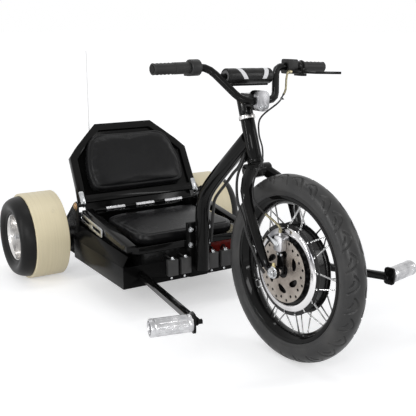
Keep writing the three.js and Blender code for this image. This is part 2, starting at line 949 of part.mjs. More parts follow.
function handlebar() {
  const end = crossbarEnd();
  const crossbar = rod(end.clone().setX(-end.x), end, crossbar_radius, 10);
  return join([tube(barCorners(), bar_radius, bar_bend, 12, 3), crossbar]);
}

// A foam roll round the crossbar, slit along its underside
function crossbarPad() {
  const centre = crossbarEnd();
  const pad_half_length = centre.x - pad_end_gap;
  const left = at(pad_half_length, centre.y, centre.z);
  const right = at(-pad_half_length, centre.y, centre.z);
  const edge = pad_radius - pad_edge;
  const roll = revolve(
    bothSides([
      [crossbar_radius + pad_bore_gap, pad_half_length],
      [edge, pad_half_length],
      [pad_radius, pad_half_length - pad_edge],
    ]),
    24,
  ).translate(0, centre.y, centre.z);

  const slit = block(
    right.x - cut_overrun, left.x + cut_overrun, centre.y - pad_slit / 2, centre.y + pad_slit / 2,
    centre.z - pad_radius - cut_overrun, centre.z,
  );
  return cut(roll, [slit]);
}

// A frame with its X axis along the bar's grip, and its middle at a distance along X
function gripPlace(side, distance) {
  const rise = at(side * bar_rise_x, bar_rise_y, bar_rise_z);
  const end = at(side * bar_half_length, bar_end_y, bar_end_z);
  const along = end.clone().sub(rise).normalize();
  const turn = new THREE.Quaternion().setFromUnitVectors(at(side, 0, 0), along);
  const share = (distance - bar_rise_x) / (bar_half_length - bar_rise_x);
  return { place: rise.clone().lerp(end, share), turn };
}

function onGrip(mesh, side, distance) {
  const { place, turn } = gripPlace(side, distance);
  mesh.position.copy(place);
  mesh.quaternion.copy(turn);
  return mesh;
}

// A grip sleeve from its inner end outwards: a flange, then ribs, with the bar's bore through it
function gripSleeve(side, length, ribs, flange, radius = grip_radius) {
  const bore = bar_radius + grip_bore_gap;
  const outline = [[bore, 0], [flange ? grip_flange_radius : radius, 0]];
  if (flange) outline.push([grip_flange_radius, sheet], [radius, sheet + grip_rib_height]);
  const start = flange ? 3 * sheet : sheet;
  const pitch = (length - start - sheet) / Math.max(ribs, 1);
  for (let index = 0; index < ribs; index++) {
    const x = start + index * pitch;
    outline.push([radius, x], [radius - grip_rib_height, x + pitch / 2]);
  }
  outline.push([radius, length - grip_rib_height], [radius - grip_rib_height, length], [bore, length]);
  return revolve(outline.map(([r, x]) => [r, side * x]), 14);
}

// Pieces clamped to the bar, drawn about the grip's own axis along X
function throttleHousing() {
  const half = throttle_housing_width / 2;
  const body = revolve(
    bothSides([
      [bar_radius + seat_gap, half],
      [throttle_housing_radius - sheet, half],
      [throttle_housing_radius, half - sheet],
    ]),
    16,
  );
  const neck = block(
    -half, half, 0, throttle_housing_radius, -throttle_housing_radius, -throttle_housing_radius / 3,
  );
  const bore = rod(at(-2 * half, 0, 0), at(2 * half, 0, 0), bar_radius + seat_gap, 12);
  return cut(join([body, neck]), [bore]);
}

function switchBlock() {
  const half = switch_width / 2;
  const box = plate(roundedOutline(switch_depth / 2, switch_height / 2, sheet * 2, 3), switch_width);
  const body = standInYZ(box, -half);
  const bore = rod(at(-2 * half, 0, 0), at(2 * half, 0, 0), bar_radius + seat_gap, 12);
  const split = switch_depth / 2;
  const well = rod(
    at(0, split - button_height - 2 * button_travel, 0),
    at(0, split + cut_overrun, 0),
    button_radius + seat_gap,
    16,
  );
  return cut(body, [bore, well]);
}

function switchButton() {
  const split = switch_depth / 2;
  return rod(
    at(0, split - button_height, 0), at(0, split + button_height - button_travel, 0), button_radius, 16,
  );
}

// Lever perch: a clamp ring with an arm that carries the lever's pivot
function leverPerch() {
  const half = perch_width / 2;
  const clamp = rod(at(-half, 0, 0), at(half, 0, 0), bar_radius + perch_wall, 16);
  const arm = block(
    -half, half, -perch_reach, 0, -perch_drop - perch_height / 2, perch_height / 2 - perch_drop,
  );
  const barrel_end = -half - perch_reach;
  const barrel = rod(
    at(0, -perch_reach + perch_wall, -perch_drop),
    at(barrel_end, -perch_reach + perch_wall, -perch_drop),
    perch_wall,
    12,
  );
  const bore = rod(at(-2 * half, 0, 0), at(2 * half, 0, 0), bar_radius + seat_gap, 12);
  const slot_half = lever_thickness / 2 + running_gap;
  const slot = block(-half + sheet, half + cut_overrun, -perch_reach - cut_overrun, -perch_slot_floor,
    -perch_drop - slot_half, -perch_drop + slot_half);
  const pin_half = perch_height / 2;
  const pin = rod(
    at(0, -lever_pivot_reach, -perch_drop - pin_half),
    at(0, -lever_pivot_reach, pin_half - perch_drop),
    lever_pin_radius,
    8,
  );
  return join([cut(join([clamp, arm, barrel]), [bore, slot]), pin]);
}

// Where the cable meets the end of the perch's barrel
function perchCableEnd() {
  const { place, turn } = gripPlace(1, perch_centre);
  const local = at(-perch_width / 2 - perch_reach - seat_gap, -perch_reach + perch_wall, -perch_drop);
  return local.applyQuaternion(turn).add(place);
}

// Brake lever: a blade that leaves the perch and runs along in front of the grip
function brakeLever() {
  const outline = [
    [0, -lever_pivot_reach + lever_height / 2],
    [lever_height, -lever_pivot_reach + lever_height / 2],
    [lever_height * 2, -lever_blade_reach + lever_height],
    [lever_length - lever_height, -lever_blade_reach + lever_height * 0.9],
    [lever_length, -lever_blade_reach + lever_height / 2],
    [lever_length - lever_height / 2, -lever_blade_reach],
    [lever_height * 2, -lever_blade_reach],
    [0, -lever_pivot_reach - lever_height / 2],
    [-lever_height / 2, -lever_pivot_reach],
  ];
  const eye = ring(lever_pin_radius + seat_gap, 8, 0, -lever_pivot_reach);
  return plate(outline, lever_thickness, [eye]).translate(0, 0, -perch_drop - lever_thickness / 2);
}

// Caliper, its bracket on the axle and the arm that the cable pulls
const rotor_plane = cover_boss_end + seat_gap + rotor_thickness / 2;

function caliperBracket() {
  const top = caliper_z - caliper_height / 2 - seat_gap - caliper_bracket_radius;

  const outline = linkOutline(
    -wheelbase, front_axle_height, axle_shoulder_radius + bracket_thickness, caliper_y, top,
    caliper_bracket_radius,
  );
  const outer = -caliper_bracket_x - bracket_thickness;
  const link = standInYZ(plate(outline, bracket_thickness), outer);
  const axle = [at(2 * outer, -wheelbase, front_axle_height), at(0, -wheelbase, front_axle_height)];
  return cut(link, [rod(...axle, axle_shoulder_radius + seat_gap, 14)]);
}

function caliperBody() {
  const gap = rotor_thickness / 2 + running_gap;
  const high = caliper_z + caliper_height / 2;
  const profile = roundedOutline(
    caliper_width / 2, caliper_height / 2, caliper_corner, 3, caliper_y, caliper_z,
  );
  const width = caliper_outer_x - caliper_inner_x;
  const body = standInYZ(plate(profile, width), -caliper_outer_x);

  const piston = rod(
    at(-caliper_outer_x + sheet, caliper_y, caliper_z),
    at(-caliper_outer_x - caliper_piston_rise, caliper_y, caliper_z),
    caliper_width / 3,
    12,
  );

  const slot = rod(
    at(-rotor_plane - gap, -wheelbase, front_axle_height),
    at(-rotor_plane + gap, -wheelbase, front_axle_height),
    rotor_radius + 2 * running_gap,
    32,
  );

  const inlet = rod(
    at(-caliper_cable_x, caliper_y, high - sheet),
    at(-caliper_cable_x, caliper_y, high + caliper_inlet),
    brake_cable_radius + sheet / 2,
    10,
  );
  return cut(join([body, piston, inlet]), [slot]);
}

function caliperArm() {
  const x = -caliper_outer_x - caliper_piston_rise - seat_gap - caliper_arm_thickness;
  const outline = linkOutline(caliper_y, caliper_z, caliper_width / 4, caliper_y + caliper_arm_length,
    caliper_z + caliper_arm_lift, caliper_width / 6);
  return standInYZ(plate(outline, caliper_arm_thickness), x);
}

// Main frame: head tube, bent down tube, gusset, and the bolted flange at its foot
const frame_plate_face = box_front_y - frame_plate_thickness;
const tube_foot_y = frame_plate_face - seat_gap - tube_radius;

function mainFrame() {
  const corners = [
    at(0, tube_head_y, tube_head_z),
    at(0, tube_foot_y + tube_mid_share * (tube_head_y - tube_foot_y), tube_mid_z),
    at(0, tube_foot_y, tube_bend_z),
    at(0, tube_foot_y, tube_foot_z),
  ];
  const down = tube(corners, tube_radius, tube_bend, 16, 4);
  const head = rod(alongHead(0), alongHead(head_length), head_tube_radius, 16);
  const gusset = [
    [tube_head_y, tube_head_z],
    [head_bottom_y, head_bottom_z + tube_radius],
    [head_bottom_y, head_bottom_z + gusset_foot],
    [gusset_y, gusset_z],
    [gusset_y + tube_radius, gusset_z + tube_radius],
  ];
  const web = standInYZ(plate(gusset, gusset_thickness), -gusset_thickness / 2);
  const flange_back = frame_plate_face - seat_gap;
  const flange_middle = (frame_plate_top + frame_flange_bottom) / 2;
  const flange_half = (frame_plate_top - frame_flange_bottom) / 2;
  const flange = standInXZ(
    plate(
      roundedOutline(frame_plate_half_width, flange_half, bolt_head_radius, 3, 0, flange_middle),
      frame_plate_thickness,
    ),
    flange_back,
  );
  const bolts = [-1, 1].flatMap((side) =>
    [frame_bolt_lower_z, frame_bolt_upper_z].map((z) => {
      const face = flange_back - frame_plate_thickness / 2;
      const x = side * frame_bolt_x;
      return rod(
        at(x, face, z), at(x, face - frame_plate_thickness / 2 - bolt_head_height, z), bolt_head_radius, 6,
      );
    }),
  );
  const bore = rod(alongHead(-tube_radius), alongHead(head_length + tube_radius), head_tube_bore, 14);

  const foot_cut = block(
    -2 * tube_radius, 2 * tube_radius, frame_plate_face - seat_gap, frame_plate_face + tube_radius, 0,
    frame_plate_top,
  );
  return cut(join([down, head, web, flange, ...bolts]), [bore, foot_cut]);
}

// The plate on the box front that the frame's flange is bolted to
function framePlate() {
  const wide = frame_plate_half_width;
  const narrow = block_inner_x - block_width / 2 - seat_gap;
  const step = frame_flange_bottom - (wide - narrow);
  const right = [
    [narrow, box_bottom_z], [narrow, step], [wide, frame_flange_bottom], [wide, frame_plate_top],
  ];
  const outline = [...right, ...right.map(([x, z]) => [-x, z]).reverse()];
  return standInXZ(plate(outline, frame_plate_thickness + sheet / 2), box_front_y + sheet / 2);
}

// A side wall of the box, leaning in from its flange to the rail of the seat pan
function boxWing(side) {
  const section = (y, top) => {
    const foot = box_top_z - sheet;
    const points = [
      at(side * box_half_width, y, foot),
      at(side * wing_top_x, y, top),
      at(side * (wing_top_x - sheet), y, top),
      at(side * (box_half_width - sheet), y, foot),
    ];
    return side < 0 ? points : points.reverse();
  };
  return loft([
    section(box_front_y + wing_front_gap, wing_front_z), section(box_rear_y - wing_rear_gap, wing_rear_z),
  ]);
}

// Battery box: a folded tray, open on top, with two openings in front for the peg arms
function batteryBox() {
  const outer = block(-box_half_width, box_half_width, box_front_y, box_rear_y, box_bottom_z, box_top_z);

  const inner = block(
    -box_half_width + sheet, box_half_width - sheet, box_front_y + sheet, box_rear_y - sheet,
    box_bottom_z + sheet, box_top_z + cut_overrun,
  );
  const arms = [-1, 1].map((side) => armBar(side, seat_gap, arm_root_inside));
  const rim = [-1, 1].map((side) => {
    const x = side * (box_half_width - box_flange / 2);
    return block(
      x - box_flange / 2, x + box_flange / 2, box_front_y, box_rear_y, box_top_z - sheet, box_top_z,
    );
  });
  return cut(join([cut(outer, [inner]), ...rim, boxWing(-1), boxWing(1), framePlate()]), arms);
}

// A peg arm's square tube, from inside the box to the peg, grown by a clearance
function armBar(side, grow, inside) {
  const root = at(side * arm_root_x, box_front_y, arm_root_z);
  const tip = at(side * arm_tip_x, arm_tip_y, arm_tip_z);
  const back = root.clone().sub(tip).normalize();
  const start = root.clone().addScaledVector(back, inside);
  const end = tip.clone().addScaledVector(back, grow ? 0 : arm_plate_thickness / 2);
  const outline = roundedOutline(arm_side / 2 + grow, arm_side / 2 + grow, arm_corner, 1);
  const shape = new THREE.Shape(outline.map(([a, b]) => new THREE.Vector2(a, b)));
  const path = new THREE.LineCurve3(start, end);
  return new THREE.ExtrudeGeometry(shape, { steps: 1, extrudePath: path, bevelEnabled: false });
}

// The arm's level heading, the outward direction square to it, and its tip
function armAxes(side) {
  const along = at(side * (arm_tip_x - arm_root_x), arm_tip_y - box_front_y, 0).normalize();
  const outward = at(-along.y, along.x, 0).multiplyScalar(side);
  const tip = at(side * arm_tip_x, arm_tip_y, arm_tip_z);
  return { along, outward, tip };
}

// An arm with its upright end plate and inner bolt, and a foot on the box floor
function pegArm(side) {
  const { along, outward, tip } = armAxes(side);
  const outline = roundedOutline(arm_plate_width / 2, arm_plate_height / 2, arm_corner * 2, 3);
  const normal = along.clone().cross(at(0, 0, 1));
  const turn = new THREE.Matrix4().makeBasis(along, at(0, 0, 1), normal);
  const middle = tip.clone().addScaledVector(outward, (arm_side - arm_plate_thickness) / 2);
  const start = middle.clone().addScaledVector(normal, -arm_plate_thickness / 2);
  const upright = plate(outline, arm_plate_thickness).applyMatrix4(turn).translate(...start.toArray());
  const inner_face = tip.clone().addScaledVector(outward, arm_plate_thickness - arm_side / 2);
  const bolt = rod(
    inner_face, tip.clone().addScaledVector(outward, -arm_side / 2 - bolt_head_height), bolt_head_radius, 6,
  );
  const root_x = side * arm_root_x;
  const foot = block(root_x - arm_side / 2, root_x + arm_side / 2, box_front_y + sheet + seat_gap,
    box_front_y + arm_root_inside, box_bottom_z + sheet + seat_gap, arm_root_z);
  return join([armBar(side, 0, arm_root_inside), upright, bolt, foot]);
}

const peg_tooth_shares = [-0.32, 0.32, 0.5];

// A foot peg: a round bar with grooves along it and a sunk end
function footPeg(side) {
  const { outward, tip } = armAxes(side);
  const teeth = Array.from({ length: peg_slot_count }, (_, index) => {
    const pitch = (2 * Math.PI) / peg_slot_count;
    const angle = index * pitch;
    const low = peg_radius - peg_slot_depth;
    const [start, end, dip] = peg_tooth_shares.map((share) => angle + pitch * share);
    return [onCircle(peg_radius, start), onCircle(peg_radius, end), onCircle(low, dip)];
  }).flat();
  const middle_part = plate(teeth, peg_length);
  const socket = plate(ring(peg_radius / 2, 12), peg_radius).translate(0, 0, peg_length - peg_radius / 2);
  const turn = new THREE.Quaternion().setFromUnitVectors(at(0, 0, 1), outward);
  const start = tip.clone().addScaledVector(outward, arm_side / 2 + seat_gap);
  return cut(middle_part, [socket]).applyQuaternion(turn).translate(...start.toArray());
}

// Battery block and controller, both on the box floor
function batteryPack() {
  const half = battery_half_width;
  const length = (battery_rear_y - battery_front_y) / 2;
  const outline = roundedOutline(
    half, length, battery_corner, 3, 0, (battery_rear_y + battery_front_y) / 2,
  );
  return plate(outline, battery_height).translate(0, 0, box_bottom_z + sheet + seat_gap);
}

function controller() {
  const floor = box_bottom_z + sheet + seat_gap;
  const body = block(
    -controller_half_width, controller_half_width, controller_front_y, controller_rear_y, floor,
    floor + controller_height,
  );
  const pitch = (2 * controller_half_width) / controller_fin_count;
  const slots = Array.from({ length: controller_fin_count - 1 }, (_, index) => {
    const x = -controller_half_width + (index + 1) * pitch;

    return block(
      x - pitch / 4,
      x + pitch / 4,
      controller_front_y - cut_overrun,
      controller_rear_y + cut_overrun,
      floor + controller_height - controller_fin_depth,
      floor + controller_height + cut_overrun,
    );
  });
  return cut(body, slots);
}

// A terminal block on the box front with a screw on top
function terminalBlock(x) {
  const half = block_width / 2;
  const back = box_front_y - seat_gap;
  const body = block(x - half, x + half, back - block_depth, back, block_top_z - block_height, block_top_z);
  const middle = back - block_depth / 2;
  const screw = rod(
    at(x, middle, block_top_z - cut_overrun),
    at(x, middle, block_top_z + block_screw_height),
    block_screw_radius,
    6,
  );
  return join([body, screw]);
}

// Seat pan: floor, front lip with cut corners, and two side rails that rise to the rear
function seatPan() {
  const w = pan_half_width;
  const c = pan_corner;
  const outline = [[-w, pan_rear_y], [-w, pan_front_y + c], [c - w, pan_front_y], [w - c, pan_front_y],
    [w, pan_front_y + c], [w, pan_rear_y]];
  const floor = plate(outline, pan_thickness).translate(0, 0, pan_front_z);
  const lip = cut(plate(outline, pan_lip), [
    plate(insetOutline(outline, pan_thickness), pan_lip + 2 * cut_overrun).translate(0, 0, -cut_overrun),
  ]).translate(0, 0, pan_front_z);
  const front_only = block(-2 * w, 2 * w, pan_front_y + 2 * c, pan_rear_y + c, 0, 2 * pan_rear_z);
  const rails = [-1, 1].map((side) => {
    const section = (y, low, high) => {
      const out = side * w;
      const inward = side * (w - pan_rail_width);
      const bevel = pan_rail_bevel;

      const points = [
        at(out, y, low), at(out, y, high - bevel), at(out - side * bevel, y, high), at(inward, y, high),
        at(inward, y, high - bevel), at(out - side * bevel, y, low),
      ];
      return side > 0 ? points.reverse() : points;
    };
    const front = pan_front_y + c;
    const bottom = pan_front_z;
    return loft([
      section(front, bottom, bottom + pan_lip),
      section(pan_rear_y, pan_rear_z - pan_rail_height, pan_rear_z + pan_rail_rise),
    ]);
  });
  return join([floor, cut(lip, [front_only]), ...rails]);
}

// An outline moved inwards by a distance, edge by edge
function insetOutline(outline, distance) {
  const points = outline.map(([a, b]) => new THREE.Vector2(a, b));
  const turn = THREE.ShapeUtils.isClockWise(points) ? 1 : -1;
  return points.map((point, index) => {
    const before = points[(index + points.length - 1) % points.length];
    const after = points[(index + 1) % points.length];
    const first = point.clone().sub(before).normalize();
    const second = after.clone().sub(point).normalize();
    const normal_first = new THREE.Vector2(first.y, -first.x).multiplyScalar(turn);
    const normal_second = new THREE.Vector2(second.y, -second.x).multiplyScalar(turn);
    const both = normal_first.add(normal_second);
    const reach = (2 * distance) / both.lengthSq();
    return [point.x + both.x * reach, point.y + both.y * reach];
  });
}

// A cushion: rings of one outline, drawn in at the foot, stepped at the seam and crowned on top
const cushion_profile = [
  [0, 1], [0.14, 0.2], [0.55, 0], [0.8, 0.4], [0.87, 0.9], [0.92, 0.7], [1, 1.6],
];
const crown_shares = [[0.24, 0.45], [0.5, 0.8], [0.8, 0.98]];

function cushion(outline, half_a, half_b, height, crown, draw_in, centre_b = 0) {
  const scaled = (inset, level) =>
    outline.map(([a, b]) => at(
      (a * (half_a - inset)) / half_a, centre_b + ((b - centre_b) * (half_b - inset)) / half_b, level,
    ));
  const sides = cushion_profile.map(([up, inset]) => scaled(draw_in * inset, height * up));
  const last = draw_in * cushion_profile[cushion_profile.length - 1][1];
  const top = crown_shares.map(([inward, up]) => scaled(
    last + (half_b - last) * inward, height + crown * up,
  ));
  return loft([...sides, ...top]);
}

function seatCushion() {
  const half_b = (cushion_rear_y - cushion_front_y) / 2;
  const middle = (cushion_rear_y + cushion_front_y) / 2;
  const outline = roundedOutline(cushion_half_width, half_b, cushion_corner, 4, 0, middle);
  const dense = fillOutline(outline, cushion_edge_step);
  const solid = cushion(
    dense, cushion_half_width, half_b, cushion_height, cushion_crown, cushion_draw_in, middle,
  );
  return solid.translate(0, 0, pan_front_z + pan_thickness + seat_gap);
}

// Adds points along the straight runs of an outline
function fillOutline(outline, step) {
  return outline.flatMap(([a, b], index) => {
    const [next_a, next_b] = outline[(index + 1) % outline.length];
    const count = Math.max(1, Math.round(Math.hypot(next_a - a, next_b - b) / step));
    return Array.from(
      { length: count },
      (_, part) => [a + ((next_a - a) * part) / count, b + ((next_b - b) * part) / count],
    );
  });
}

// Backrest, drawn upright about its pivots: X across, -Y to the front, Z up its own plane
const recline = Math.atan2(back_top_y - pivot_y, back_top_z - pivot_z);
const back_height = Math.hypot(back_top_y - pivot_y, back_top_z - pivot_z);

function backOutline() {
  const half = [[shell_foot_x, shell_foot], [shell_waist_x, shell_waist], [shell_wide_x, shell_wide],
    [shell_shoulder_x, shell_shoulder], [shell_neck_x, shell_neck], [shell_top_x, back_height]];
  return [...half, ...half.map(([x, z]) => [-x, z]).reverse()];
}

function backShell() {
  const outline = backOutline();
  const panel_outline = insetOutline(outline, shell_rim_width);
  const wall_outline = insetOutline(outline, shell_rim_width - shell_thickness);
  const edge_outline = insetOutline(outline, shell_thickness);
  const panel = plate(wall_outline, shell_thickness);
  const wall = plate(wall_outline, shell_rim_depth, [panel_outline]);
  const band = plate(
    outline, shell_thickness, [panel_outline],
  ).translate(0, 0, shell_rim_depth - shell_thickness);
  const edge = plate(outline, shell_rim_depth, [edge_outline]);
  const skirt_x = shell_foot_x - shell_rim_width;
  const skirt_top = shell_foot + shell_rim_width + shell_thickness;
  const skirt = plate(
    [[-skirt_x, -shell_skirt], [skirt_x, -shell_skirt], [skirt_x, skirt_top], [-skirt_x, skirt_top]],
    shell_thickness,
  );
  return standInXZ(join([panel, wall, band, edge, skirt]), shell_rim_depth);
}

function backCushion() {
  const middle = (back_pad_bottom + back_pad_top) / 2;
  const half = (back_pad_top - back_pad_bottom) / 2;
  const shape = new THREE.Shape();
  const low = back_pad_low_half_width;
  const wide = back_pad_wide_half_width;
  const top = back_pad_top_half_width;
  const corner = back_pad_corner;
  shape.moveTo(corner - low, back_pad_bottom);
  shape.lineTo(low - corner, back_pad_bottom);
  shape.quadraticCurveTo(low, back_pad_bottom, low, back_pad_bottom + corner);
  shape.quadraticCurveTo(wide, middle - corner / 2, wide - back_pad_shoulder, middle + corner / 2);
  shape.quadraticCurveTo(top + back_pad_shoulder, back_pad_top, top - corner, back_pad_top);
  shape.lineTo(corner - top, back_pad_top);
  shape.quadraticCurveTo(
    -top - back_pad_shoulder, back_pad_top, back_pad_shoulder - wide, middle + corner / 2,
  );
  shape.quadraticCurveTo(-wide, middle - corner / 2, -low, back_pad_bottom + corner);
  shape.quadraticCurveTo(-low, back_pad_bottom, corner - low, back_pad_bottom);
  const outline = shape.getPoints(4).map((point) => [point.x, point.y]).slice(0, -1);
  const dense = fillOutline(outline, cushion_edge_step);
  const solid = cushion(dense, wide, half, back_pad_height, back_pad_crown, cushion_draw_in, middle);
  return standInXZ(solid, shell_rim_depth - shell_thickness - seat_gap);
}

// A bracket on the backrest rim with an ear round the pivot
function backBracket(side) {
  const strip = standInXZ(
    plate(
      roundedOutline(
        bracket_half_width, bracket_rise / 2, bracket_thickness, 2, side * bracket_x, bracket_rise / 2,
      ),
      bracket_thickness,
    ),
    -seat_gap,
  );
  const ear_x = side * bracket_x - bracket_thickness / 2;
  const ear_radius = pivot_radius * 1.5;
  const outline = linkOutline(0, 0, ear_radius, -ear_radius - seat_gap, bracket_thickness, ear_radius, 6);
  const ear = standInYZ(plate(outline, bracket_thickness), ear_x);
  const bore = rod(
    at(side * bracket_x - bracket_half_width * 2, 0, 0),
    at(side * bracket_x + bracket_half_width * 2, 0, 0),
    pivot_radius + seat_gap,
    16,
  );
  return cut(join([strip, ear]), [bore]);
}

// The rod behind the seat with three bright sleeves
function hingeRod() {
  const end = pan_half_width;
  const half = [[0, end], [hinge_rod_radius, end]];
  const spans = [1, 0].flatMap((step) => {
    const middle = step * hinge_sleeve_spacing;
    const high = middle + hinge_sleeve_half_length;
    const low = middle - hinge_sleeve_half_length;
    const rise = [[hinge_rod_radius, high], [hinge_sleeve_radius, high]];
    return step ? [...rise, [hinge_sleeve_radius, low], [hinge_rod_radius, low]] : rise;
  });
  return revolve(bothSides([...half, ...spans]), 10).translate(0, hinge_rod_y, hinge_rod_z);
}

// A slotted strip that ties the pan's rail to the axle plate
function adjuster(side) {
  const slot_half = adjuster_height / 6;
  const outline = roundedOutline(adjuster_length / 2, adjuster_height / 2, adjuster_height / 4, 2);
  const slots = [-1, 1].map((end) =>
    roundedOutline(adjuster_length / 6, slot_half, slot_half * 0.9, 2, (end * adjuster_length) / 4, 0));
  const strip = standInYZ(plate(outline, adjuster_thickness, slots), -adjuster_thickness / 2);
  const x = side * (pan_half_width + seat_gap + adjuster_thickness / 2);
  return strip.rotateX(adjuster_slope).translate(x, adjuster_middle_y, adjuster_middle_z);
}

// A side plate from the box and the backrest pivot down to the rear axle
function axlePlate(side) {
  const front = box_rear_y + seat_gap;
  const pivot_edge = pivot_radius * 3;
  const outline = [
    [front, box_bottom_z + sheet],
    [-axle_plate_boss_radius, box_bottom_z + sheet],


    ...ring(axle_plate_boss_radius, 12, 0, rear_axle_height).filter(
      ([a, b]) => a > 0 || b > rear_axle_height,
    ),
    [pivot_y + pivot_edge, pivot_z + pivot_edge / 2],
    [pivot_y, pivot_z + pivot_edge],
    [pivot_y - pivot_edge, pivot_z],
    [pivot_y - pivot_edge, box_top_z + sheet * 3],
    [front, box_top_z + sheet],
  ];
  const bores = [ring(rear_axle_radius + seat_gap, 12, 0, rear_axle_height)];
  const start = side > 0 ? axle_plate_x : -axle_plate_x - axle_plate_thickness;
  const side_plate = standInYZ(
    plate(sortRound(outline, front / 2, rear_axle_height), axle_plate_thickness, bores), start,
  );
  return join([side_plate, pivotBolt(side)]);
}

// The backrest's pivot bolt, fast in the side plate, with its shaft in the bracket's ear
function pivotBolt(side) {
  const inner = side * (bracket_x - pivot_radius);
  const outer = side * (axle_plate_x + axle_plate_thickness + bolt_head_height);
  const foot = side * (axle_plate_x + axle_plate_thickness / 2);
  const shaft = rod(at(inner, pivot_y, pivot_z), at(outer, pivot_y, pivot_z), pivot_radius, 10);
  return join([shaft, rod(at(foot, pivot_y, pivot_z), at(outer, pivot_y, pivot_z), pivot_radius * 2, 6)]);
}

// Orders the points of a star-shaped outline round a centre
function sortRound(outline, a, b) {
  const angle = ([x, y]) => Math.atan2(y - b, x - a);
  return [...outline].sort((first, second) => angle(first) - angle(second));
}

// Rear axle with collars inside the hubs and nuts outside them
function rearAxle() {
  const collar_start = axle_plate_x + axle_plate_thickness + seat_gap;
  const collar_end = rearHubStart() - running_gap;
  const r = rear_axle_radius;
  const collar = rear_collar_radius;
  const rod_part = revolve(

    bothSides([
      [0, rear_axle_half_length], [r, rear_axle_half_length], [r, collar_end], [collar, collar_end],
      [collar, collar_start], [r, collar_start],
    ]),
    10,
  );
  const nut_start = rearBarrelEnd() - rear_rim_dish + rear_rim_thickness + running_gap;
  const nuts = [-1, 1].map((side) =>
    rod(at(side * nut_start, 0, 0), at(side * (nut_start + rear_nut_height), 0, 0), rear_nut_radius, 6));
  return join([rod_part, ...nuts]);
}

function mast() {
  const start = mast_foot_top_z - mast_clamp_radius;
  return rod(at(mast_x, mast_y, start), at(mast_x, mast_y, mast_top_z), mast_radius, 8, mast_radius / 2);
}

// A clamp on the rear axle with a socket for the mast
function mastFoot() {
  const half = mast_clamp_width / 2;
  const axle = [at(mast_x - half, 0, rear_axle_height), at(mast_x + half, 0, rear_axle_height)];
  const clamp = rod(...axle, mast_clamp_radius, 12);
  const socket = rod(
    at(mast_x, mast_y, rear_axle_height), at(mast_x, mast_y, mast_foot_top_z), mast_foot_radius, 8,
  );
  const through = [at(mast_x - 2 * half, 0, rear_axle_height), at(mast_x + 2 * half, 0, rear_axle_height)];
  const floor = mast_foot_top_z - mast_clamp_radius - seat_gap;
  const well = rod(
    at(mast_x, mast_y, floor), at(mast_x, mast_y, mast_foot_top_z + cut_overrun), mast_radius + seat_gap, 8,
  );
  return cut(join([clamp, socket]), [rod(...through, rear_axle_radius + seat_gap, 10), well]);
}

// A point near the head tube: its place from the tube's foot, in lengths of the tube
function fromHead(x, y, z) {
  return at(x, y, z).multiplyScalar(head_length).add(head_bottom);
}

// Cables, as points on their routes
function brakeCable() {
  const end = at(-caliper_cable_x, caliper_y, caliper_z + caliper_height / 2 + caliper_inlet + seat_gap);
  const start = perchCableEnd();
  const route = [
    start, start.clone().setX(start.x - cable_lead), fromHead(1.17, 0.3, 1.92), fromHead(1.1, 0.23, 1.66),
    fromHead(0.88, 0.09, 1.5), fromHead(0.36, -0.35, 1.39),
    fromHead(-0.1, -0.26, 1.02), fromHead(-0.07, -0.2, 0.65), fromHead(-0.07, -0.35, 0.32),
    fromHead(-0.12, -0.42, 0.03), fromHead(-0.34, -0.5, -0.22), fromHead(-0.56, -0.65, -0.5),
    fromHead(-0.65, -0.8, -0.78), fromHead(-0.54, -1.03, -1.07), fromHead(-0.46, -1.35, -1.24),
    end.clone().setZ(end.z + cable_lead), end,
  ];
  return cable(route, brake_cable_radius, 8);
}

function motorCable() {
  const route = [
    fromHead(-0.34, 0.09, -0.12), fromHead(-0.53, -0.02, -0.31), fromHead(-0.73, -0.23, -0.54),
    fromHead(-0.83, -0.42, -0.9), fromHead(-0.82, -0.64, -1.29),
    fromHead(-0.81, -0.82, -1.69), fromHead(-0.77, -1.04, -2.04), fromHead(-0.76, -1.21, -2.3),
    fromHead(-0.71, -1.37, -2.46),
  ];
  return cable(route, motor_cable_radius, 8);
}

function frameLoom() {
  const route = [
    fromHead(-0.076, 0.382, 0.025), fromHead(-0.076, 0.595, -0.272), fromHead(-0.051, 0.909, -0.518),
    fromHead(0, 1.316, -0.866), fromHead(0, 1.673, -1.189), fromHead(0.034, 1.928, -1.444),
    fromHead(0.102, 2.098, -1.758), fromHead(0.187, 2.285, -2.14), fromHead(0.229, 2.387, -2.48),
    fromHead(0.238, 2.437, -2.777),
  ];
  return cable(route, loom_radius, 8);
}

// The assembly
const y_front = -wheelbase;

const chassis = group([
  piece("main_frame", mainFrame(), gloss_black),
  piece("battery_box", batteryBox(), satin_black),
  piece("battery_pack", batteryPack(), wrap_red),
  piece("motor_controller", controller(), cast_alloy),
  piece("seat_pan", seatPan(), gloss_black),
  piece("seat_cushion", seatCushion(), vinyl),
  piece("hinge_rod", hingeRod(), zinc),
  piece("rear_axle", rearAxle().translate(0, 0, rear_axle_height), zinc),
  piece("whip_mast", mast(), mast_white),
  piece("whip_foot", mastFoot(), satin_black),
  piece("headset_cup_upper", headsetCup(head_length + seat_gap), polished),
  piece("headset_cup_lower", headsetCup(-cup_height), polished),
  piece("frame_loom", frameLoom(), soft_black),
]);

const sides = [["right", -1], ["left", 1]];
for (const [word, side] of sides) {
  chassis.add(
    piece("terminal_block_outer_" + word, terminalBlock(side * block_outer_x), satin_black),
    piece("terminal_block_inner_" + word, terminalBlock(side * block_inner_x), satin_black),
    piece("seat_adjuster_" + word, adjuster(side), zinc),
    piece("axle_plate_" + word, axlePlate(side), gloss_black),
    piece("peg_arm_" + word, pegArm(side), gloss_black),
    piece("foot_peg_" + word, footPeg(side), polished),
  );
}

const backrest = group(
  [piece("backrest_shell", backShell(), gloss_black), piece("backrest_cushion", backCushion(), vinyl)],
  0,
  pivot_y,
  pivot_z,
);
for (const [word, side] of sides) backrest.add(piece("backrest_bracket_" + word, backBracket(side), zinc));
backrest.rotation.x = -recline;

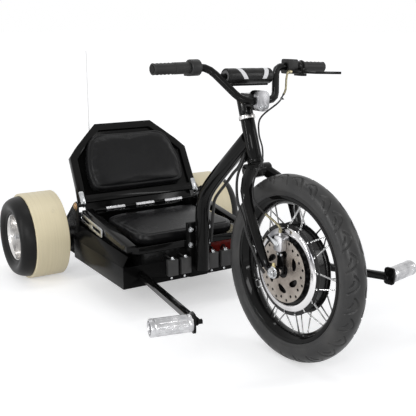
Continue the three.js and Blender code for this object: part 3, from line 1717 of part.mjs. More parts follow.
const steering = group([
  piece("fork", fork(), gloss_black),
  piece("stem", stem(), satin_black),
  piece("stem_faceplate", stemFaceplate(), cast_alloy),
  piece("handlebar", handlebar(), gloss_black),
  piece("crossbar_pad", crossbarPad(), soft_black),
  piece("brake_cable", brakeCable(), soft_black),
  piece("motor_cable", motorCable(), soft_black),
  piece("caliper_bracket", caliperBracket(), satin_black),
  piece("caliper_body", caliperBody(), cast_alloy),
  piece("caliper_arm", caliperArm(), zinc),
  piece("front_axle", frontAxle().translate(0, y_front, front_axle_height), zinc),
]);
const twist_end = twist_start + twist_length;
steering.add(
  onGrip(
    piece("throttle_housing", throttleHousing(), soft_black),
    -1,
    twist_start - throttle_housing_width / 2 - seat_gap,
  ),
  onGrip(
    piece("throttle_grip", gripSleeve(-1, twist_length - seat_gap, 0, false), rubber), -1, twist_start,
  ),
  onGrip(piece("grip_right", gripSleeve(-1, ribbed_length, grip_rib_count, false), rubber), -1, twist_end),
  onGrip(
    piece("grip_left", gripSleeve(1, left_grip_length, grip_rib_count, true), rubber), 1, left_grip_start,
  ),
  onGrip(piece("switch_block", switchBlock(), soft_black), 1, switch_centre),
  onGrip(piece("horn_button", switchButton(), soft_black), 1, switch_centre),
  onGrip(piece("lever_perch", leverPerch(), soft_black), 1, perch_centre),
  onGrip(piece("brake_lever", brakeLever(), soft_black), 1, perch_centre),
);

const front_wheel = group(
  [
    piece("hub_motor", hubMotor(), satin_black),
    piece("motor_cover_right", motorCover(-1), polished),
    piece("motor_cover_left", motorCover(1), polished),
    piece("brake_rotor", brakeRotor(), rotor_steel),
    piece("front_rim", frontRim(), satin_black),
    piece("front_tyre", frontTyre(), rubber),
  ],
  0,
  y_front,
  front_axle_height,
);

function rearWheel(word, side) {
  const wheel = group(
    [
      piece("rear_sleeve_" + word, rearSleeve(), cream_plastic),
      piece("rear_tyre_" + word, rearTyre(), rubber),
      piece("rear_rim_" + word, rearRim(), polished),
    ],
    0,
    0,
    rear_axle_height,
  );
  wheel.scale.x = side;
  return wheel;
}

// Everything that steers, turned about the head tube's axis
const steered = group([steering, front_wheel]);
for (const part of [steering, front_wheel]) part.position.sub(head_bottom);
const turned = group([steered], 0, head_bottom_y, head_bottom_z);
turned.quaternion.setFromAxisAngle(head_direction, THREE.MathUtils.degToRad(steer_rest_degrees));

const trike = group([chassis, backrest, turned], 0, middle_y, 0);
for (const [word, side] of sides) trike.add(rearWheel(word, side));

export default trike;
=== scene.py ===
# %% [markdown]
# # A low drift trike, dressed for a studio picture
# The solids of the trike come first, exactly as they were packed, in metres, with +Z up and -Y forward.
# Everything made here is set around them, so nothing in this file moves a solid.

# %% Load the imported trike
import json
import math
import bpy
from mathutils import Matrix, Vector

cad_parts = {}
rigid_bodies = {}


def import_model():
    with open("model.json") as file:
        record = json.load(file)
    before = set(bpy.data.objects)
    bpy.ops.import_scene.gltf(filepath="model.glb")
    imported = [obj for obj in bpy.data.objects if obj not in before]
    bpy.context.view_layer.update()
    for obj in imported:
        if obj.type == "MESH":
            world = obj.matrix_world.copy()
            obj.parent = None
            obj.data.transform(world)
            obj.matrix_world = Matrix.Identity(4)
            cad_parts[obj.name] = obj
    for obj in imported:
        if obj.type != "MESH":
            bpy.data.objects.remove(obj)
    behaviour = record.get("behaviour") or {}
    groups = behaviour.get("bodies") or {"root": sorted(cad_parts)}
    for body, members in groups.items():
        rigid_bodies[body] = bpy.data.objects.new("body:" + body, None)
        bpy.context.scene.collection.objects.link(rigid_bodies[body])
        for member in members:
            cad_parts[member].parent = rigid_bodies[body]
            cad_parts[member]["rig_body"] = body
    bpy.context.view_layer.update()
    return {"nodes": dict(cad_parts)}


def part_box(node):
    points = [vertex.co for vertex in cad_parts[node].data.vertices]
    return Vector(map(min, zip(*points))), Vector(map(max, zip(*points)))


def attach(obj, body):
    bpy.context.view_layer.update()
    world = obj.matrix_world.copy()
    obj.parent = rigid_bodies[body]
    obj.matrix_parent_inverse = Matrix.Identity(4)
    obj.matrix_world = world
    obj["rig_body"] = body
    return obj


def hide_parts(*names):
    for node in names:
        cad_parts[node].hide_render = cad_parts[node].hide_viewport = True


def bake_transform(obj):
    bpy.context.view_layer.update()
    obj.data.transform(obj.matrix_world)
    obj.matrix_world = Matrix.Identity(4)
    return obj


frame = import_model()
MM = 0.001

# %% [markdown]
# ## The camera
# The photograph looks down a little, from the rider's front right. The distance and the lens were worked out
# from the wheels: a long lens of 65 mm on a 36 mm sensor. The small shift keeps the trike as high in the
# picture as it is in the photograph.

# %% Camera
camera_data = bpy.data.cameras.new("studio_camera")
camera_data.lens = 65.28
camera_data.sensor_width = 36
camera_data.shift_y = 0.0156
camera = bpy.data.objects.new("studio_camera", camera_data)
camera.location = (-1.2598, -2.0787, 0.9386)
camera.rotation_euler = Vector((0.5102, 0.8236, -0.2477)).to_track_quat("-Z", "Y").to_euler()
bpy.context.scene.collection.objects.link(camera)
bpy.context.scene.camera = camera
bpy.context.scene.view_settings.view_transform = "Standard"
print("camera at", [round(x, 3) for x in camera.location])

# %% [markdown]
# ## Shader maths as plain expressions
# A material is a small machine of nodes. To read it like a formula, a `Wire` stands for one output socket,
# and adding or multiplying wires adds the Math node that does it. A `Finish` starts a material and has one
# method for every other node: its settings go in first, and then the values or wires of its inputs.

# %% Wires
class Wire:
    """One output socket of a shader node, with arithmetic"""

    def __init__(self, finish, socket):
        self.finish = finish
        self.socket = socket

    def maths(self, operation, first, second=0.0, clamp=False):
        settings = {"operation": operation, "use_clamp": clamp}
        return self.finish.node("ShaderNodeMath", settings, {0: first, 1: second})

    def __add__(self, other):
        return self.maths("ADD", self, other)

    __radd__ = __add__

    def __sub__(self, other):
        return self.maths("SUBTRACT", self, other)

    def __rsub__(self, other):
        return self.maths("SUBTRACT", other, self)

    def __mul__(self, other):
        return self.maths("MULTIPLY", self, other)

    __rmul__ = __mul__

    def __gt__(self, other):
        return self.maths("GREATER_THAN", self, other)

    def __lt__(self, other):
        return self.maths("LESS_THAN", self, other)

    def of(self, operation, other=0.0, clamp=False):
        return self.maths(operation, self, other, clamp)


print("wires ready")


# %% Finishes
class Finish:
    """A material whose Principled shader is fed by wires"""

    def __init__(self, name):
        self.material = bpy.data.materials.new(name)
        self.material.use_nodes = True
        self.nodes = self.material.node_tree.nodes
        self.links = self.material.node_tree.links
        self.nodes.clear()
        self.shader = self.nodes.new("ShaderNodeBsdfPrincipled")
        output = self.nodes.new("ShaderNodeOutputMaterial")
        self.links.new(self.shader.outputs[0], output.inputs["Surface"])

    def feed(self, socket, value):
        if isinstance(value, Wire):
            self.links.new(value.socket, socket)
        else:
            socket.default_value = value

    def node(self, kind, settings=None, inputs=None, output=0):
        made = self.nodes.new(kind)
        for key, value in (settings or {}).items():
            setattr(made, key, value)
        for key, value in (inputs or {}).items():
            self.feed(made.inputs[key], value)
        return Wire(self, made.outputs[output])

    def place(self):
        """Object coordinates, in metres"""
        return self.node("ShaderNodeTexCoord", output="Object")

    def straight_place(self):
        """Object coordinates with the bars' turn taken out again"""
        inputs = {"Vector": self.place(), "Location": STRAIGHT.translation, "Rotation": STRAIGHT.to_euler()}
        return self.node("ShaderNodeMapping", {"vector_type": "POINT"}, inputs)

    def axes(self, vector):
        split = self.nodes.new("ShaderNodeSeparateXYZ")
        self.feed(split.inputs[0], vector)
        return [Wire(self, split.outputs[k]) for k in range(3)]

    def noise(self, scale, detail=3.0, vector=None, roughness=0.5):
        inputs = {"Vector": vector or self.place(), "Scale": scale, "Detail": detail, "Roughness": roughness}
        return self.node("ShaderNodeTexNoise", None, inputs)

    def between(self, value, low, high, start=0.0, end=1.0):
        """Value mapped from low..high to start..end, and held there"""
        inputs = {0: value, 1: low, 2: high, 3: start, 4: end}
        return self.node("ShaderNodeMapRange", {"clamp": True}, inputs)

    def grey(self, value, blue):
        """A colour from one wire for red and green, and one for blue"""
        return self.node("ShaderNodeCombineColor", None, {0: value, 1: value, 2: blue})

    def mix(self, share, first, second):
        """A colour between two colours"""
        inputs = {"Factor": share, 6: first, 7: second}
        return self.node("ShaderNodeMix", {"data_type": "RGBA"}, inputs, output=2)

    def bump(self, height, depth, strength=1.0, normal=None):
        inputs = {"Height": height, "Distance": depth, "Strength": strength}
        if normal:
            inputs["Normal"] = normal
        return self.node("ShaderNodeBump", None, inputs)

    def surface(self, **sockets):
        for key, value in sockets.items():
            self.feed(self.shader.inputs[key.replace("_", " ")], value)
        return self.material


def tone(red, green=None, blue=None):
    """A colour with full alpha; one number makes a grey"""
    return (red, red if green is None else green, red if blue is None else blue, 1.0)


print("shader helpers ready")

# %% [markdown]
# ## The rest pose of the bars
# The bars and the front wheel are packed a little turned to the rider's left, about the raked head tube. Pieces
# of that half are easier to model straight, so they're built straight and then turned by the same matrix.

# %% Turned about the head tube
HEAD_FOOT = Vector((0.0, -0.306, 0.551))
HEAD_AXIS = Vector((0.0, 42.0, 110.0)).normalized()
STEER_ANGLE = math.radians(3.7)


def about(point, turn, axis="X"):
    """A matrix that turns about a line through a point"""
    return Matrix.Translation(point) @ Matrix.Rotation(turn, 4, axis) @ Matrix.Translation(-point)


STEERED = about(HEAD_FOOT, STEER_ANGLE, HEAD_AXIS)
STRAIGHT = STEERED.inverted()
print("bars turned by", round(math.degrees(STEER_ANGLE), 1), "degrees")

# %% [markdown]
# ## A white studio
# The backdrop is the colour of paper. Rays from the camera and from gloss see white. All other rays see a
# plain grey room, so the trike isn't flooded. The floor is a pale sheet that glows a little to the camera,
# and more far away from the trike, which leaves the soft shadow and loses the horizon.

# %% World
ROOM_LIGHT = 0.58
world = bpy.data.worlds.new("white_room")
bpy.context.scene.world = world
world.use_nodes = True
world_nodes, world_links = world.node_tree.nodes, world.node_tree.links
world_nodes.clear()


def backdrop(colour, strength):
    """A background shader's output, of one colour and strength"""
    made = world_nodes.new("ShaderNodeBackground")
    made.inputs["Color"].default_value = colour
    made.inputs["Strength"].default_value = strength
    return made.outputs[0]


def either(first, second):
    """The sum of two outputs, held at one"""
    made = world_nodes.new("ShaderNodeMath")
    made.operation = "ADD"
    made.use_clamp = True
    world_links.new(first, made.inputs[0])
    world_links.new(second, made.inputs[1])
    return made.outputs[0]


ray = world_nodes.new("ShaderNodeLightPath").outputs
seen = either(either(ray["Is Camera Ray"], ray["Is Glossy Ray"]), ray["Is Transmission Ray"])
choose = world_nodes.new("ShaderNodeMixShader")
world_out = world_nodes.new("ShaderNodeOutputWorld")
world_links.new(seen, choose.inputs[0])
world_links.new(backdrop(tone(0.97, 0.98, 1.0), ROOM_LIGHT), choose.inputs[1])
world_links.new(backdrop(tone(1.0), 1.0), choose.inputs[2])
world_links.new(choose.outputs[0], world_out.inputs["Surface"])
print("world: white to the camera and to gloss, plain room to the rest")

# %% Floor
def deselect():
    """Nothing selected, so that an operator acts only on what is chosen next"""
    for thing in bpy.context.selected_objects:
        thing.select_set(False)
    bpy.context.view_layer.objects.active = None


FLOOR_SIZE = 90
FLOOR_AHEAD = 20.0
JUST_BELOW = -0.0005
GLOW_STARTS, GLOW_FULL = 1.0, 3.6
NEAR_GLOW, FAR_GLOW = 0.41, 0.58
deselect()
bpy.ops.mesh.primitive_plane_add(size=FLOOR_SIZE, location=(0, FLOOR_AHEAD, JUST_BELOW))
floor = bpy.context.object
floor.name = "studio_floor"
floor_finish = Finish("pale_floor")
rays = floor_finish.nodes.new("ShaderNodeLightPath").outputs
by_camera, by_gloss, by_glass = [
    Wire(floor_finish, rays[kind]) for kind in ("Is Camera Ray", "Is Glossy Ray", "Is Transmission Ray")]
looked_at = (by_camera + by_gloss).of("ADD", by_glass, clamp=True)
floor_grain = floor_finish.between(floor_finish.noise(6.0, 2.0), 0.3, 0.7, 0.79, 0.81)
floor_x, floor_y = floor_finish.axes(floor_finish.place())[:2]
ahead = floor_y + FLOOR_AHEAD
from_trike = (floor_x * floor_x + ahead * ahead).of("SQRT")
glow = floor_finish.between(from_trike, GLOW_STARTS, GLOW_FULL, NEAR_GLOW, FAR_GLOW)
floor_finish.surface(
    Base_Color=floor_finish.grey(floor_grain, floor_grain * 1.005), Roughness=0.9, Specular_IOR_Level=0.1,
    Emission_Color=floor_finish.mix(looked_at, tone(0.0), floor_finish.grey(glow, glow)), Emission_Strength=1.0)
floor.data.materials.append(floor_finish.material)
print("floor laid")

# %% [markdown]
# ## Lamps
# Five soft lamps: a broad key beside the camera, a fill on the other side, an overhead sheet for the top of
# the seat, a tall strip that draws the long highlight down every black tube, and a low strip for the box.

# %% Lamps
def lamp(name, place, target, width, height, power):
    """A soft rectangular lamp that looks at a point"""
    data = bpy.data.lights.new(name, "AREA")
    data.shape = "RECTANGLE"
    data.size = width
    data.size_y = height
    data.energy = power
    made = bpy.data.objects.new(name, data)
    made.location = place
    made.rotation_euler = (Vector(target) - Vector(place)).to_track_quat("-Z", "Y").to_euler()
    bpy.context.scene.collection.objects.link(made)


for name, place, target, width, height, power in (
        ("key_softbox", (-2.3, -2.4, 1.7), (0, 0, 0.3), 1.0, 1.0, 28),
        ("fill_softbox", (2.3, -2.2, 1.6), (0, -0.2, 0.3), 0.4, 1.6, 14),
        ("overhead_sheet", (0.0, 0.4, 2.4), (0, 0, 0.2), 1.6, 0.12, 6),
        ("tall_strip", (-2.4, 0.1, 1.1), (0, -0.2, 0.4), 0.09, 1.8, 16),
        ("low_strip", (-1.0, -3.0, 0.5), (0, -0.2, 0.3), 1.6, 0.08, 10)):
    lamp(name, place, target, width, height, power)
    print(name, "at", power, "watts")

# %% [markdown]
# ## Black enamel
# Frame, fork, bars, arms and the two seat shells are steel with a thick coat of glossy black paint. Sprayed paint
# isn't glass: it has a fine orange-peel ripple, some dust, and places that hands and boots have dulled. The
# ripple is a bump of half a hair, and two noises move the roughness.

# %% Enamel
def black_enamel(name, level, smooth, rough, gloss=1.22):
    """Sprayed black paint: its darkness, the roughness of its clean and dulled places, and its gloss"""
    paint = Finish(name)
    clouds = paint.between(paint.noise(9.0, 4.0), 0.4, 0.68)
    specks = paint.noise(900.0, 1.0) > 0.71
    ripple = paint.noise(420.0, 1.0)
    dull = clouds * (rough - smooth) + smooth + specks * 0.12
    colour = paint.mix(clouds * 0.6 + specks * 0.3, tone(level), tone(level * 1.9, level * 1.85, level * 1.8))
    return paint.surface(Base_Color=colour, Roughness=dull, IOR=gloss, Normal=paint.bump(ripple, 0.00004, 0.5))


ENAMEL = black_enamel("black_enamel", 0.0035, 0.07, 0.16)
BOX_ENAMEL = black_enamel("box_enamel", 0.0035, 0.14, 0.26, 1.13)
PLATE_ENAMEL = black_enamel("plate_enamel", 0.006, 0.2, 0.34)
print("enamels made")

# %% [markdown]
# ## Black vinyl
# The seat is leather cloth: pebbles about a millimetre across with creases between them, and a soft shine that
# is stronger where it's stretched. Voronoi cells give the pebbles, and noise at a hand's width the uneven pull.

# %% Vinyl
def black_vinyl(name, level, shine, gloss_index=1.25):
    """Pebbled black cloth: its darkness, the roughness where it is stretched, and its gloss"""
    cloth = Finish(name)
    place = cloth.place()
    warp = cloth.node("ShaderNodeTexNoise", None, {"Vector": place, "Scale": 160.0, "Detail": 2.0}, "Color")
    bent = cloth.node("ShaderNodeMix", {"data_type": "VECTOR"}, {"Factor": 0.004, 4: place, 5: warp}, 1)
    pebble = cloth.node("ShaderNodeTexVoronoi", {"feature": "DISTANCE_TO_EDGE"}, {"Vector": bent, "Scale": 620.0})
    grain = cloth.between(pebble, 0.0, 0.22)
    pull = cloth.noise(7.0, 3.0)
    gloss = cloth.between(pull, 0.35, 0.65, shine, shine + 0.1) - grain * 0.04
    worn = cloth.between(pull, 0.3, 0.7) * 0.5 + (1 - grain) * 0.3
    colour = cloth.mix(worn, tone(level, level, level * 1.06), tone(level * 2.0, level * 2.0, level * 2.1))
    creases = cloth.bump(pull, 0.0012, 0.25)
    relief = cloth.bump(grain, 0.00008, 0.5, creases)
    return cloth.surface(Base_Color=colour, Roughness=gloss, IOR=gloss_index, Normal=relief)


VINYL = black_vinyl("black_vinyl", 0.005, 0.26)
PAD_VINYL = black_vinyl("pad_vinyl", 0.0045, 0.26, 1.2)
print("vinyls made")

# %% [markdown]
# ## Rubber and moulded plastic
# Tyre rubber is a warm dark grey with almost no shine, and it picks up dust. Switch gear is moulded plastic with
# the fine spark texture of its mould. Grips are softer and darker than either.

# %% Rubber and plastic
def matt_black(name, level, rough, grain_scale, grain_depth, dust=0.25, gloss_index=1.34):
    """A dull black surface: darkness, roughness, the size and depth of its grain, its dust and its gloss"""
    skin = Finish(name)
    grain = skin.noise(grain_scale, 2.0)
    cloud = skin.between(skin.noise(14.0, 4.0), 0.42, 0.7)
    colour = skin.mix(cloud * dust, tone(level), tone(level * 2.6, level * 2.5, level * 2.4))
    gloss = skin.between(grain, 0.3, 0.7, rough - 0.06, rough + 0.06) + cloud * 0.06
    relief = skin.bump(grain, grain_depth, 0.6)
    return skin.surface(Base_Color=colour, Roughness=gloss, IOR=gloss_index, Normal=relief)


TYRE = matt_black("tyre_rubber", 0.026, 0.32, 700.0, 0.00012, 0.4)
REAR_TYRE = matt_black("rear_tyre_rubber", 0.006, 0.36, 520.0, 0.00012, 0.3, 1.25)
GRIP = matt_black("grip_rubber", 0.016, 0.48, 900.0, 0.00008)
PLASTIC = matt_black("moulded_black", 0.016, 0.42, 1500.0, 0.00005)
CABLE = matt_black("cable_jacket", 0.012, 0.36, 1100.0, 0.00003)
CASE = matt_black("block_case", 0.034, 0.34, 1300.0, 0.00004, 0.35)
print("rubbers and plastics made")

# %% [markdown]
# ## Bare and plated metal
# Bare metal shows in many places: cast alloy on the caliper and faceplate, bright zinc on nuts and brackets,
# yellow zinc, brass, alloy on the rear rims and drawn steel in the spokes. They share one recipe: a tint that
# wanders, a roughness that wanders with it, and a grain of its own scale.

# %% Metals
def metal(name, light, dark, smooth, rough, grain_scale, grain_depth, patch=22.0):
    """Metal between two tints and two roughnesses, with a fine grain"""
    bare = Finish(name)
    cloud = bare.between(bare.noise(patch, 4.0), 0.36, 0.66)
    grain = bare.noise(grain_scale, 2.0)
    colour = bare.mix(cloud, light, dark)
    gloss = bare.between(cloud * 0.7 + grain * 0.3, 0.1, 0.9, smooth, rough)
    return bare.surface(Base_Color=colour, Metallic=1.0, Roughness=gloss, Normal=bare.bump(grain, grain_depth, 0.6))


CAST = metal("cast_alloy", tone(0.72, 0.72, 0.73), tone(0.5, 0.5, 0.52), 0.34, 0.5, 900.0, 0.00012)
ZINC = metal("bright_zinc", tone(0.6, 0.61, 0.62), tone(0.36, 0.37, 0.38), 0.16, 0.34, 260.0, 0.00003, 60.0)
YELLOW_ZINC = metal("yellow_zinc", tone(0.72, 0.63, 0.34), tone(0.5, 0.4, 0.2), 0.2, 0.36, 260.0, 0.00003, 70.0)
BRASS = metal("brass_fitting", tone(0.4, 0.36, 0.24), tone(0.2, 0.18, 0.12), 0.24, 0.4, 300.0, 0.00003, 80.0)
RIM_ALLOY = metal("rim_alloy", tone(0.72, 0.705, 0.69), tone(0.4, 0.39, 0.38), 0.14, 0.3, 300.0, 0.00003, 16.0)
FACEPLATE = metal("faceplate_cast", tone(0.48, 0.48, 0.49), tone(0.26, 0.26, 0.27), 0.32, 0.46, 700.0, 0.00015)
SPOKE = metal("spoke_steel", tone(0.62), tone(0.4), 0.14, 0.26, 400.0, 0.00002, 90.0)
print("metals made")

# %% [markdown]
# The rotor is ground flat in circles, so its grain is fine rings about the axle. Its distance from the axle is
# worked out from the object coordinates, and a wave of that distance makes the rings.

# %% Rotor steel
AXLE = Vector((0.0, -0.49, 0.267))


def radius_from_axle(finish, centre=AXLE):
    """How far a point lies from the axle that runs along X"""
    x, y, z = finish.axes(finish.straight_place())
    across = y - centre.y
    up = z - centre.z
    return (across * across + up * up).of("SQRT")


disc = Finish("rotor_steel")
disc_radius = radius_from_axle(disc)
rings = (disc_radius * 9000.0).of("SINE")
heat = disc.between(disc_radius, 0.05, 0.09)
disc_cloud = disc.between(disc.noise(30.0, 4.0), 0.35, 0.65)
disc_tint = disc.mix(disc_cloud, tone(0.36, 0.32, 0.285), tone(0.22, 0.19, 0.165))
ROTOR = disc.surface(
    Base_Color=disc.mix(heat * 0.4, disc_tint, tone(0.42, 0.39, 0.35)), Metallic=1.0,
    Roughness=disc.between(rings, -1.0, 1.0, 0.26, 0.42), Normal=disc.bump(rings, 0.00003, 0.4))
print("rotor steel made")

# %% [markdown]
# ## The rear sleeves, the battery wrap and the mast
# The sleeves are cream plastic pipe, slid over the tyres so that the rear wheels skid. Pipe is drawn out, so it
# has very faint rings round it and small scuffs. The battery block is in dark red shrink wrap, which is glossy
# and wrinkled, with black tape over its right half. The mast is a thin white rod.

# %% Plastics with colour
REAR_AXLE = Vector((0.0, 0.597, 0.16))
pipe = Finish("cream_pipe")
pipe_x, pipe_y, pipe_z = pipe.axes(pipe.place())
along_pipe = pipe.node("ShaderNodeCombineXYZ", None, {0: pipe_x * 260.0, 1: pipe_y * 6.0, 2: pipe_z * 6.0})
drawn = pipe.noise(1.0, 3.0, along_pipe)
scuff = pipe.between(pipe.noise(34.0, 6.0, roughness=0.7), 0.62, 0.75)
pipe_colour = pipe.mix(pipe.between(drawn, 0.3, 0.7), tone(0.73, 0.648, 0.445), tone(0.685, 0.602, 0.408))
pipe_colour = pipe.mix(scuff * 0.35, pipe_colour, tone(0.42, 0.37, 0.26))
pipe_gloss = pipe.between(drawn, 0.3, 0.7, 0.36, 0.46) + scuff * 0.15
CREAM = pipe.surface(Base_Color=pipe_colour, Roughness=pipe_gloss, Normal=pipe.bump(drawn, 0.0001, 0.3))

wrap = Finish("red_shrink_wrap")
wrap_place = wrap.place()
crumple = {"Vector": wrap_place, "Scale": 38.0, "Detail": 4.0, "Distortion": 1.4}
wrinkle = wrap.node("ShaderNodeTexNoise", None, crumple)
wrap_x = wrap.axes(wrap_place)[0]
taped = wrap.between(wrap_x + (wrinkle - 0.5) * 0.02, 0.03, 0.034, 1.0, 0.0)
wrap_red = wrap.mix(wrap.between(wrinkle, 0.35, 0.65), tone(0.1, 0.008, 0.007), tone(0.2, 0.018, 0.013))
RED_WRAP = wrap.surface(
    Base_Color=wrap.mix(taped, wrap_red, tone(0.012)), Roughness=0.22, IOR=1.35, Normal=wrap.bump(wrinkle, 0.002, 0.7))

rod_white = Finish("mast_white")
rod_cloud = rod_white.between(rod_white.noise(40.0, 3.0), 0.3, 0.7)
rod_colour = rod_white.mix(rod_cloud, tone(0.8), tone(0.7, 0.7, 0.68))
MAST = rod_white.surface(Base_Color=rod_colour, Roughness=0.35 + rod_cloud * 0.1)
print("pipe, wrap and mast made")

# %% [markdown]
# ## The motor's end covers
# Seen from the side, the hub motor is black in the middle and round its spoke flange, with one broad polished
# ring between them. The ring is part of the same casting, so one material paints it by its distance from the axle.
# Across the ring, broad dark and bright patches are painted reflection in its colour.

# %% Motor covers
def ringed(name, ring_from, ring_to, black_level, black_rough):
    """Black casting with a polished ring between two radii"""
    case = Finish(name)
    out = radius_from_axle(case)
    ring = (out > ring_from) * (out < ring_to)
    lathed = (out * 7000.0).of("SINE")
    cloud = case.between(case.noise(26.0, 4.0), 0.35, 0.65)
    # Painted reflection: a broad noise paints dark and bright patches into the polished ring's colour.
    painted_reflection_sweep = case.between(case.noise(9.0, 1.0), 0.4, 0.62)
    bright = case.mix(painted_reflection_sweep, tone(0.74, 0.73, 0.73), tone(0.16, 0.16, 0.17))
    black = case.mix(cloud, tone(black_level), tone(black_level * 2.0))
    gloss = ring * (cloud * 0.08 + 0.08) + (1 - ring) * (cloud * 0.08 + black_rough)
    return case.surface(
        Base_Color=case.mix(ring, black, bright), Metallic=ring, Roughness=gloss, IOR=1.25,
        Normal=case.bump(lathed, 0.00002, 0.3))


COVER = ringed("motor_cover_casting", 0.101, 0.13, 0.004, 0.22)
print("cover made")

# %% [markdown]
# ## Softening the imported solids
# The solids are right in shape, but their faces are flat and their edges as sharp as paper. Real parts have a
# small round on every edge, and that round is what catches the light. So each solid is copied, its doubles are
# merged, its coplanar triangles are joined into whole faces, and a narrow bevel is applied. Long curves are
# shaded smooth, and only edges sharper than a set angle stay crisp.

# %% Choose an object and apply a modifier
def chosen(thing):
    """Only this object selected and active"""
    deselect()
    thing.select_set(True)
    bpy.context.view_layer.objects.active = thing
    return thing


def apply_modifier(thing, kind, **settings):
    """A modifier added with its settings and applied at once"""
    chosen(thing)
    made = thing.modifiers.new(kind.lower(), kind)
    for key, value in settings.items():
        setattr(made, key, value)
    bpy.ops.object.modifier_apply(modifier=made.name)


print("choosing and applying ready")


# %% Edges and edit mode
def rounded(thing, width, segments, angle):
    """Edges sharper than an angle in degrees get a small round"""
    limit = math.radians(angle)
    apply_modifier(thing, "BEVEL", width=width, segments=segments, limit_method="ANGLE", angle_limit=limit)


def smooth(thing, angle):
    """Shaded smooth, apart from edges sharper than an angle in degrees"""
    chosen(thing)
    bpy.ops.object.shade_smooth_by_angle(angle=math.radians(angle))
    return thing


WELD = 0.000004


def mode(name):
    """Change between object mode and edit mode"""
    bpy.ops.object.mode_set(mode=name)


def select_all():
    """Everything selected, in edit mode"""
    bpy.ops.mesh.select_all(action="SELECT")


def weld(apart=WELD):
    """All points that lie closer than a distance become one"""
    select_all()
    bpy.ops.mesh.remove_doubles(threshold=apart)


def settled():
    """Faces point outwards, and the edited piece's object stands at the origin"""
    select_all()
    bpy.ops.mesh.normals_make_consistent(inside=False)
    mode("OBJECT")
    bpy.ops.object.transform_apply(location=True, rotation=True, scale=True)


def push(move, size=None):
    """Extrude the selected face, then resize its new end"""
    bpy.ops.mesh.extrude_region_move(TRANSFORM_OT_translate={"value": move})
    if size:
        bpy.ops.transform.resize(value=(size, size, size))


def painted(thing, material):
    """One material on the whole piece"""
    thing.data.materials.clear()
    thing.data.materials.append(material)
    return thing


print("tools ready, points weld within", WELD, "metres")

# %% Dress a solid
COPY_WELD = 0.000005
FLAT_WITHIN = math.radians(0.6)
CRISP = 34.0


def solid_copy(node, name):
    """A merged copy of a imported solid, ready for editing"""
    made = bpy.data.objects.new(name, frame["nodes"][node].data.copy())
    bpy.context.scene.collection.objects.link(made)
    chosen(made)
    mode("EDIT")
    weld(COPY_WELD)
    bpy.ops.mesh.dissolve_limited(angle_limit=FLAT_WITHIN)
    mode("OBJECT")
    return made


def dress(node, material, edge):
    """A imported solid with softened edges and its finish, standing in the solid's place"""
    made = solid_copy(node, node + "_dressed")
    if edge:
        rounded(made, edge, 2, CRISP)
    painted(smooth(made, CRISP), material)
    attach(made, frame["nodes"][node]["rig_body"])
    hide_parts(node)


print("dressing ready, rounds on edges sharper than", CRISP, "degrees")


# %% Dress the plain solids
def pair(name):
    """The names of the right and the left one"""
    return [name + "_right", name + "_left"]


plain = {
    "main_frame": (ENAMEL, 0.0012), "fork": (ENAMEL, 0.001), "handlebar": (ENAMEL, 0.0), "stem": (ENAMEL, 0.0012),
    "battery_box": (BOX_ENAMEL, 0.0008), "seat_pan": (ENAMEL, 0.001), "backrest_shell": (ENAMEL, 0.001),
    "stem_faceplate": (FACEPLATE, 0.0014), "battery_pack": (RED_WRAP, 0.0), "motor_controller": (CAST, 0.0008),
    "hinge_rod": (ENAMEL, 0.0004), "rear_axle": (ZINC, 0.0005), "whip_mast": (MAST, 0.0),
    "whip_foot": (PLASTIC, 0.0006), "headset_cup_upper": (RIM_ALLOY, 0.0012),
    "headset_cup_lower": (ENAMEL, 0.0008), "front_axle": (ZINC, 0.0006),
    "caliper_bracket": (ENAMEL, 0.0006), "caliper_body": (CAST, 0.0012), "caliper_arm": (ZINC, 0.0005),
    "brake_lever": (ENAMEL, 0.0015), "lever_perch": (ENAMEL, 0.001), "switch_block": (PLASTIC, 0.001),
    "horn_button": (PLASTIC, 0.0006), "throttle_housing": (PLASTIC, 0.0015), "throttle_grip": (GRIP, 0.0005),
    "grip_right": (GRIP, 0.0004), "grip_left": (GRIP, 0.0004),
}
for both, look in {
    "axle_plate": (PLATE_ENAMEL, 0.0008), "peg_arm": (ENAMEL, 0.0012), "backrest_bracket": (ZINC, 0.0006),
    "seat_adjuster": (ZINC, 0.0006), "terminal_block_outer": (CASE, 0.001), "terminal_block_inner": (CASE, 0.001),
}.items():
    for node in pair(both):
        plain[node] = look
for node, (material, edge) in plain.items():
    dress(node, material, edge)
print(len(plain), "solids dressed")

# %% [markdown]
# ## Turning a section into a wheel
# Tyres, rims, drums and sleeves are all rings: one cross-section swept round an axle. By hand you'd draw the
# section with extruded vertices and spin it. That is what this helper does. It starts from a plane merged into
# one vertex, extrudes that along the section and spins the outline through a full turn.

# %% Draw a line of points, and spin a section about an axle
def line_of(name, points):
    """A chain of edges through points in metres, left in edit mode"""
    deselect()
    bpy.ops.mesh.primitive_plane_add(size=0.001, location=points[0])
    made = bpy.context.object
    made.name = name
    mode("EDIT")
    bpy.ops.mesh.select_mode(type="VERT")
    select_all()
    bpy.ops.mesh.merge(type="CENTER")
    for before, after in zip(points, points[1:]):
        bpy.ops.mesh.extrude_vertices_move(TRANSFORM_OT_translate={"value": after - before})
    return made


def turned(name, section, steps, axle, crisp):
    """A ring from a closed section of (radius, along) points in mm, spun about an axle along X"""
    points = [Vector((along * MM, axle.y, axle.z + radius * MM)) for radius, along in section]
    ring = line_of(name, points + points[:1])
    weld()
    select_all()
    bpy.ops.mesh.spin(steps=steps, angle=2 * math.pi, center=axle, axis=(1, 0, 0))
    weld()
    settled()
    return smooth(ring, crisp)


def full_turn(count):
    """Equal angles round a full turn, in radians"""
    return [2 * math.pi * k / count for k in range(count)]


def mirrored_section(half):
    """A section with the same half on both sides of the middle plane"""
    return half + [(radius, -along) for radius, along in reversed(half) if abs(along) > 1e-6]


def arc(radius_at, along_at, size, start, end, count):
    """Points of a round in a section, from start to end degrees"""
    steps = [math.radians(start + (end - start) * k / count) for k in range(count + 1)]
    return [(radius_at + size * math.cos(a), along_at + size * math.sin(a)) for a in steps]


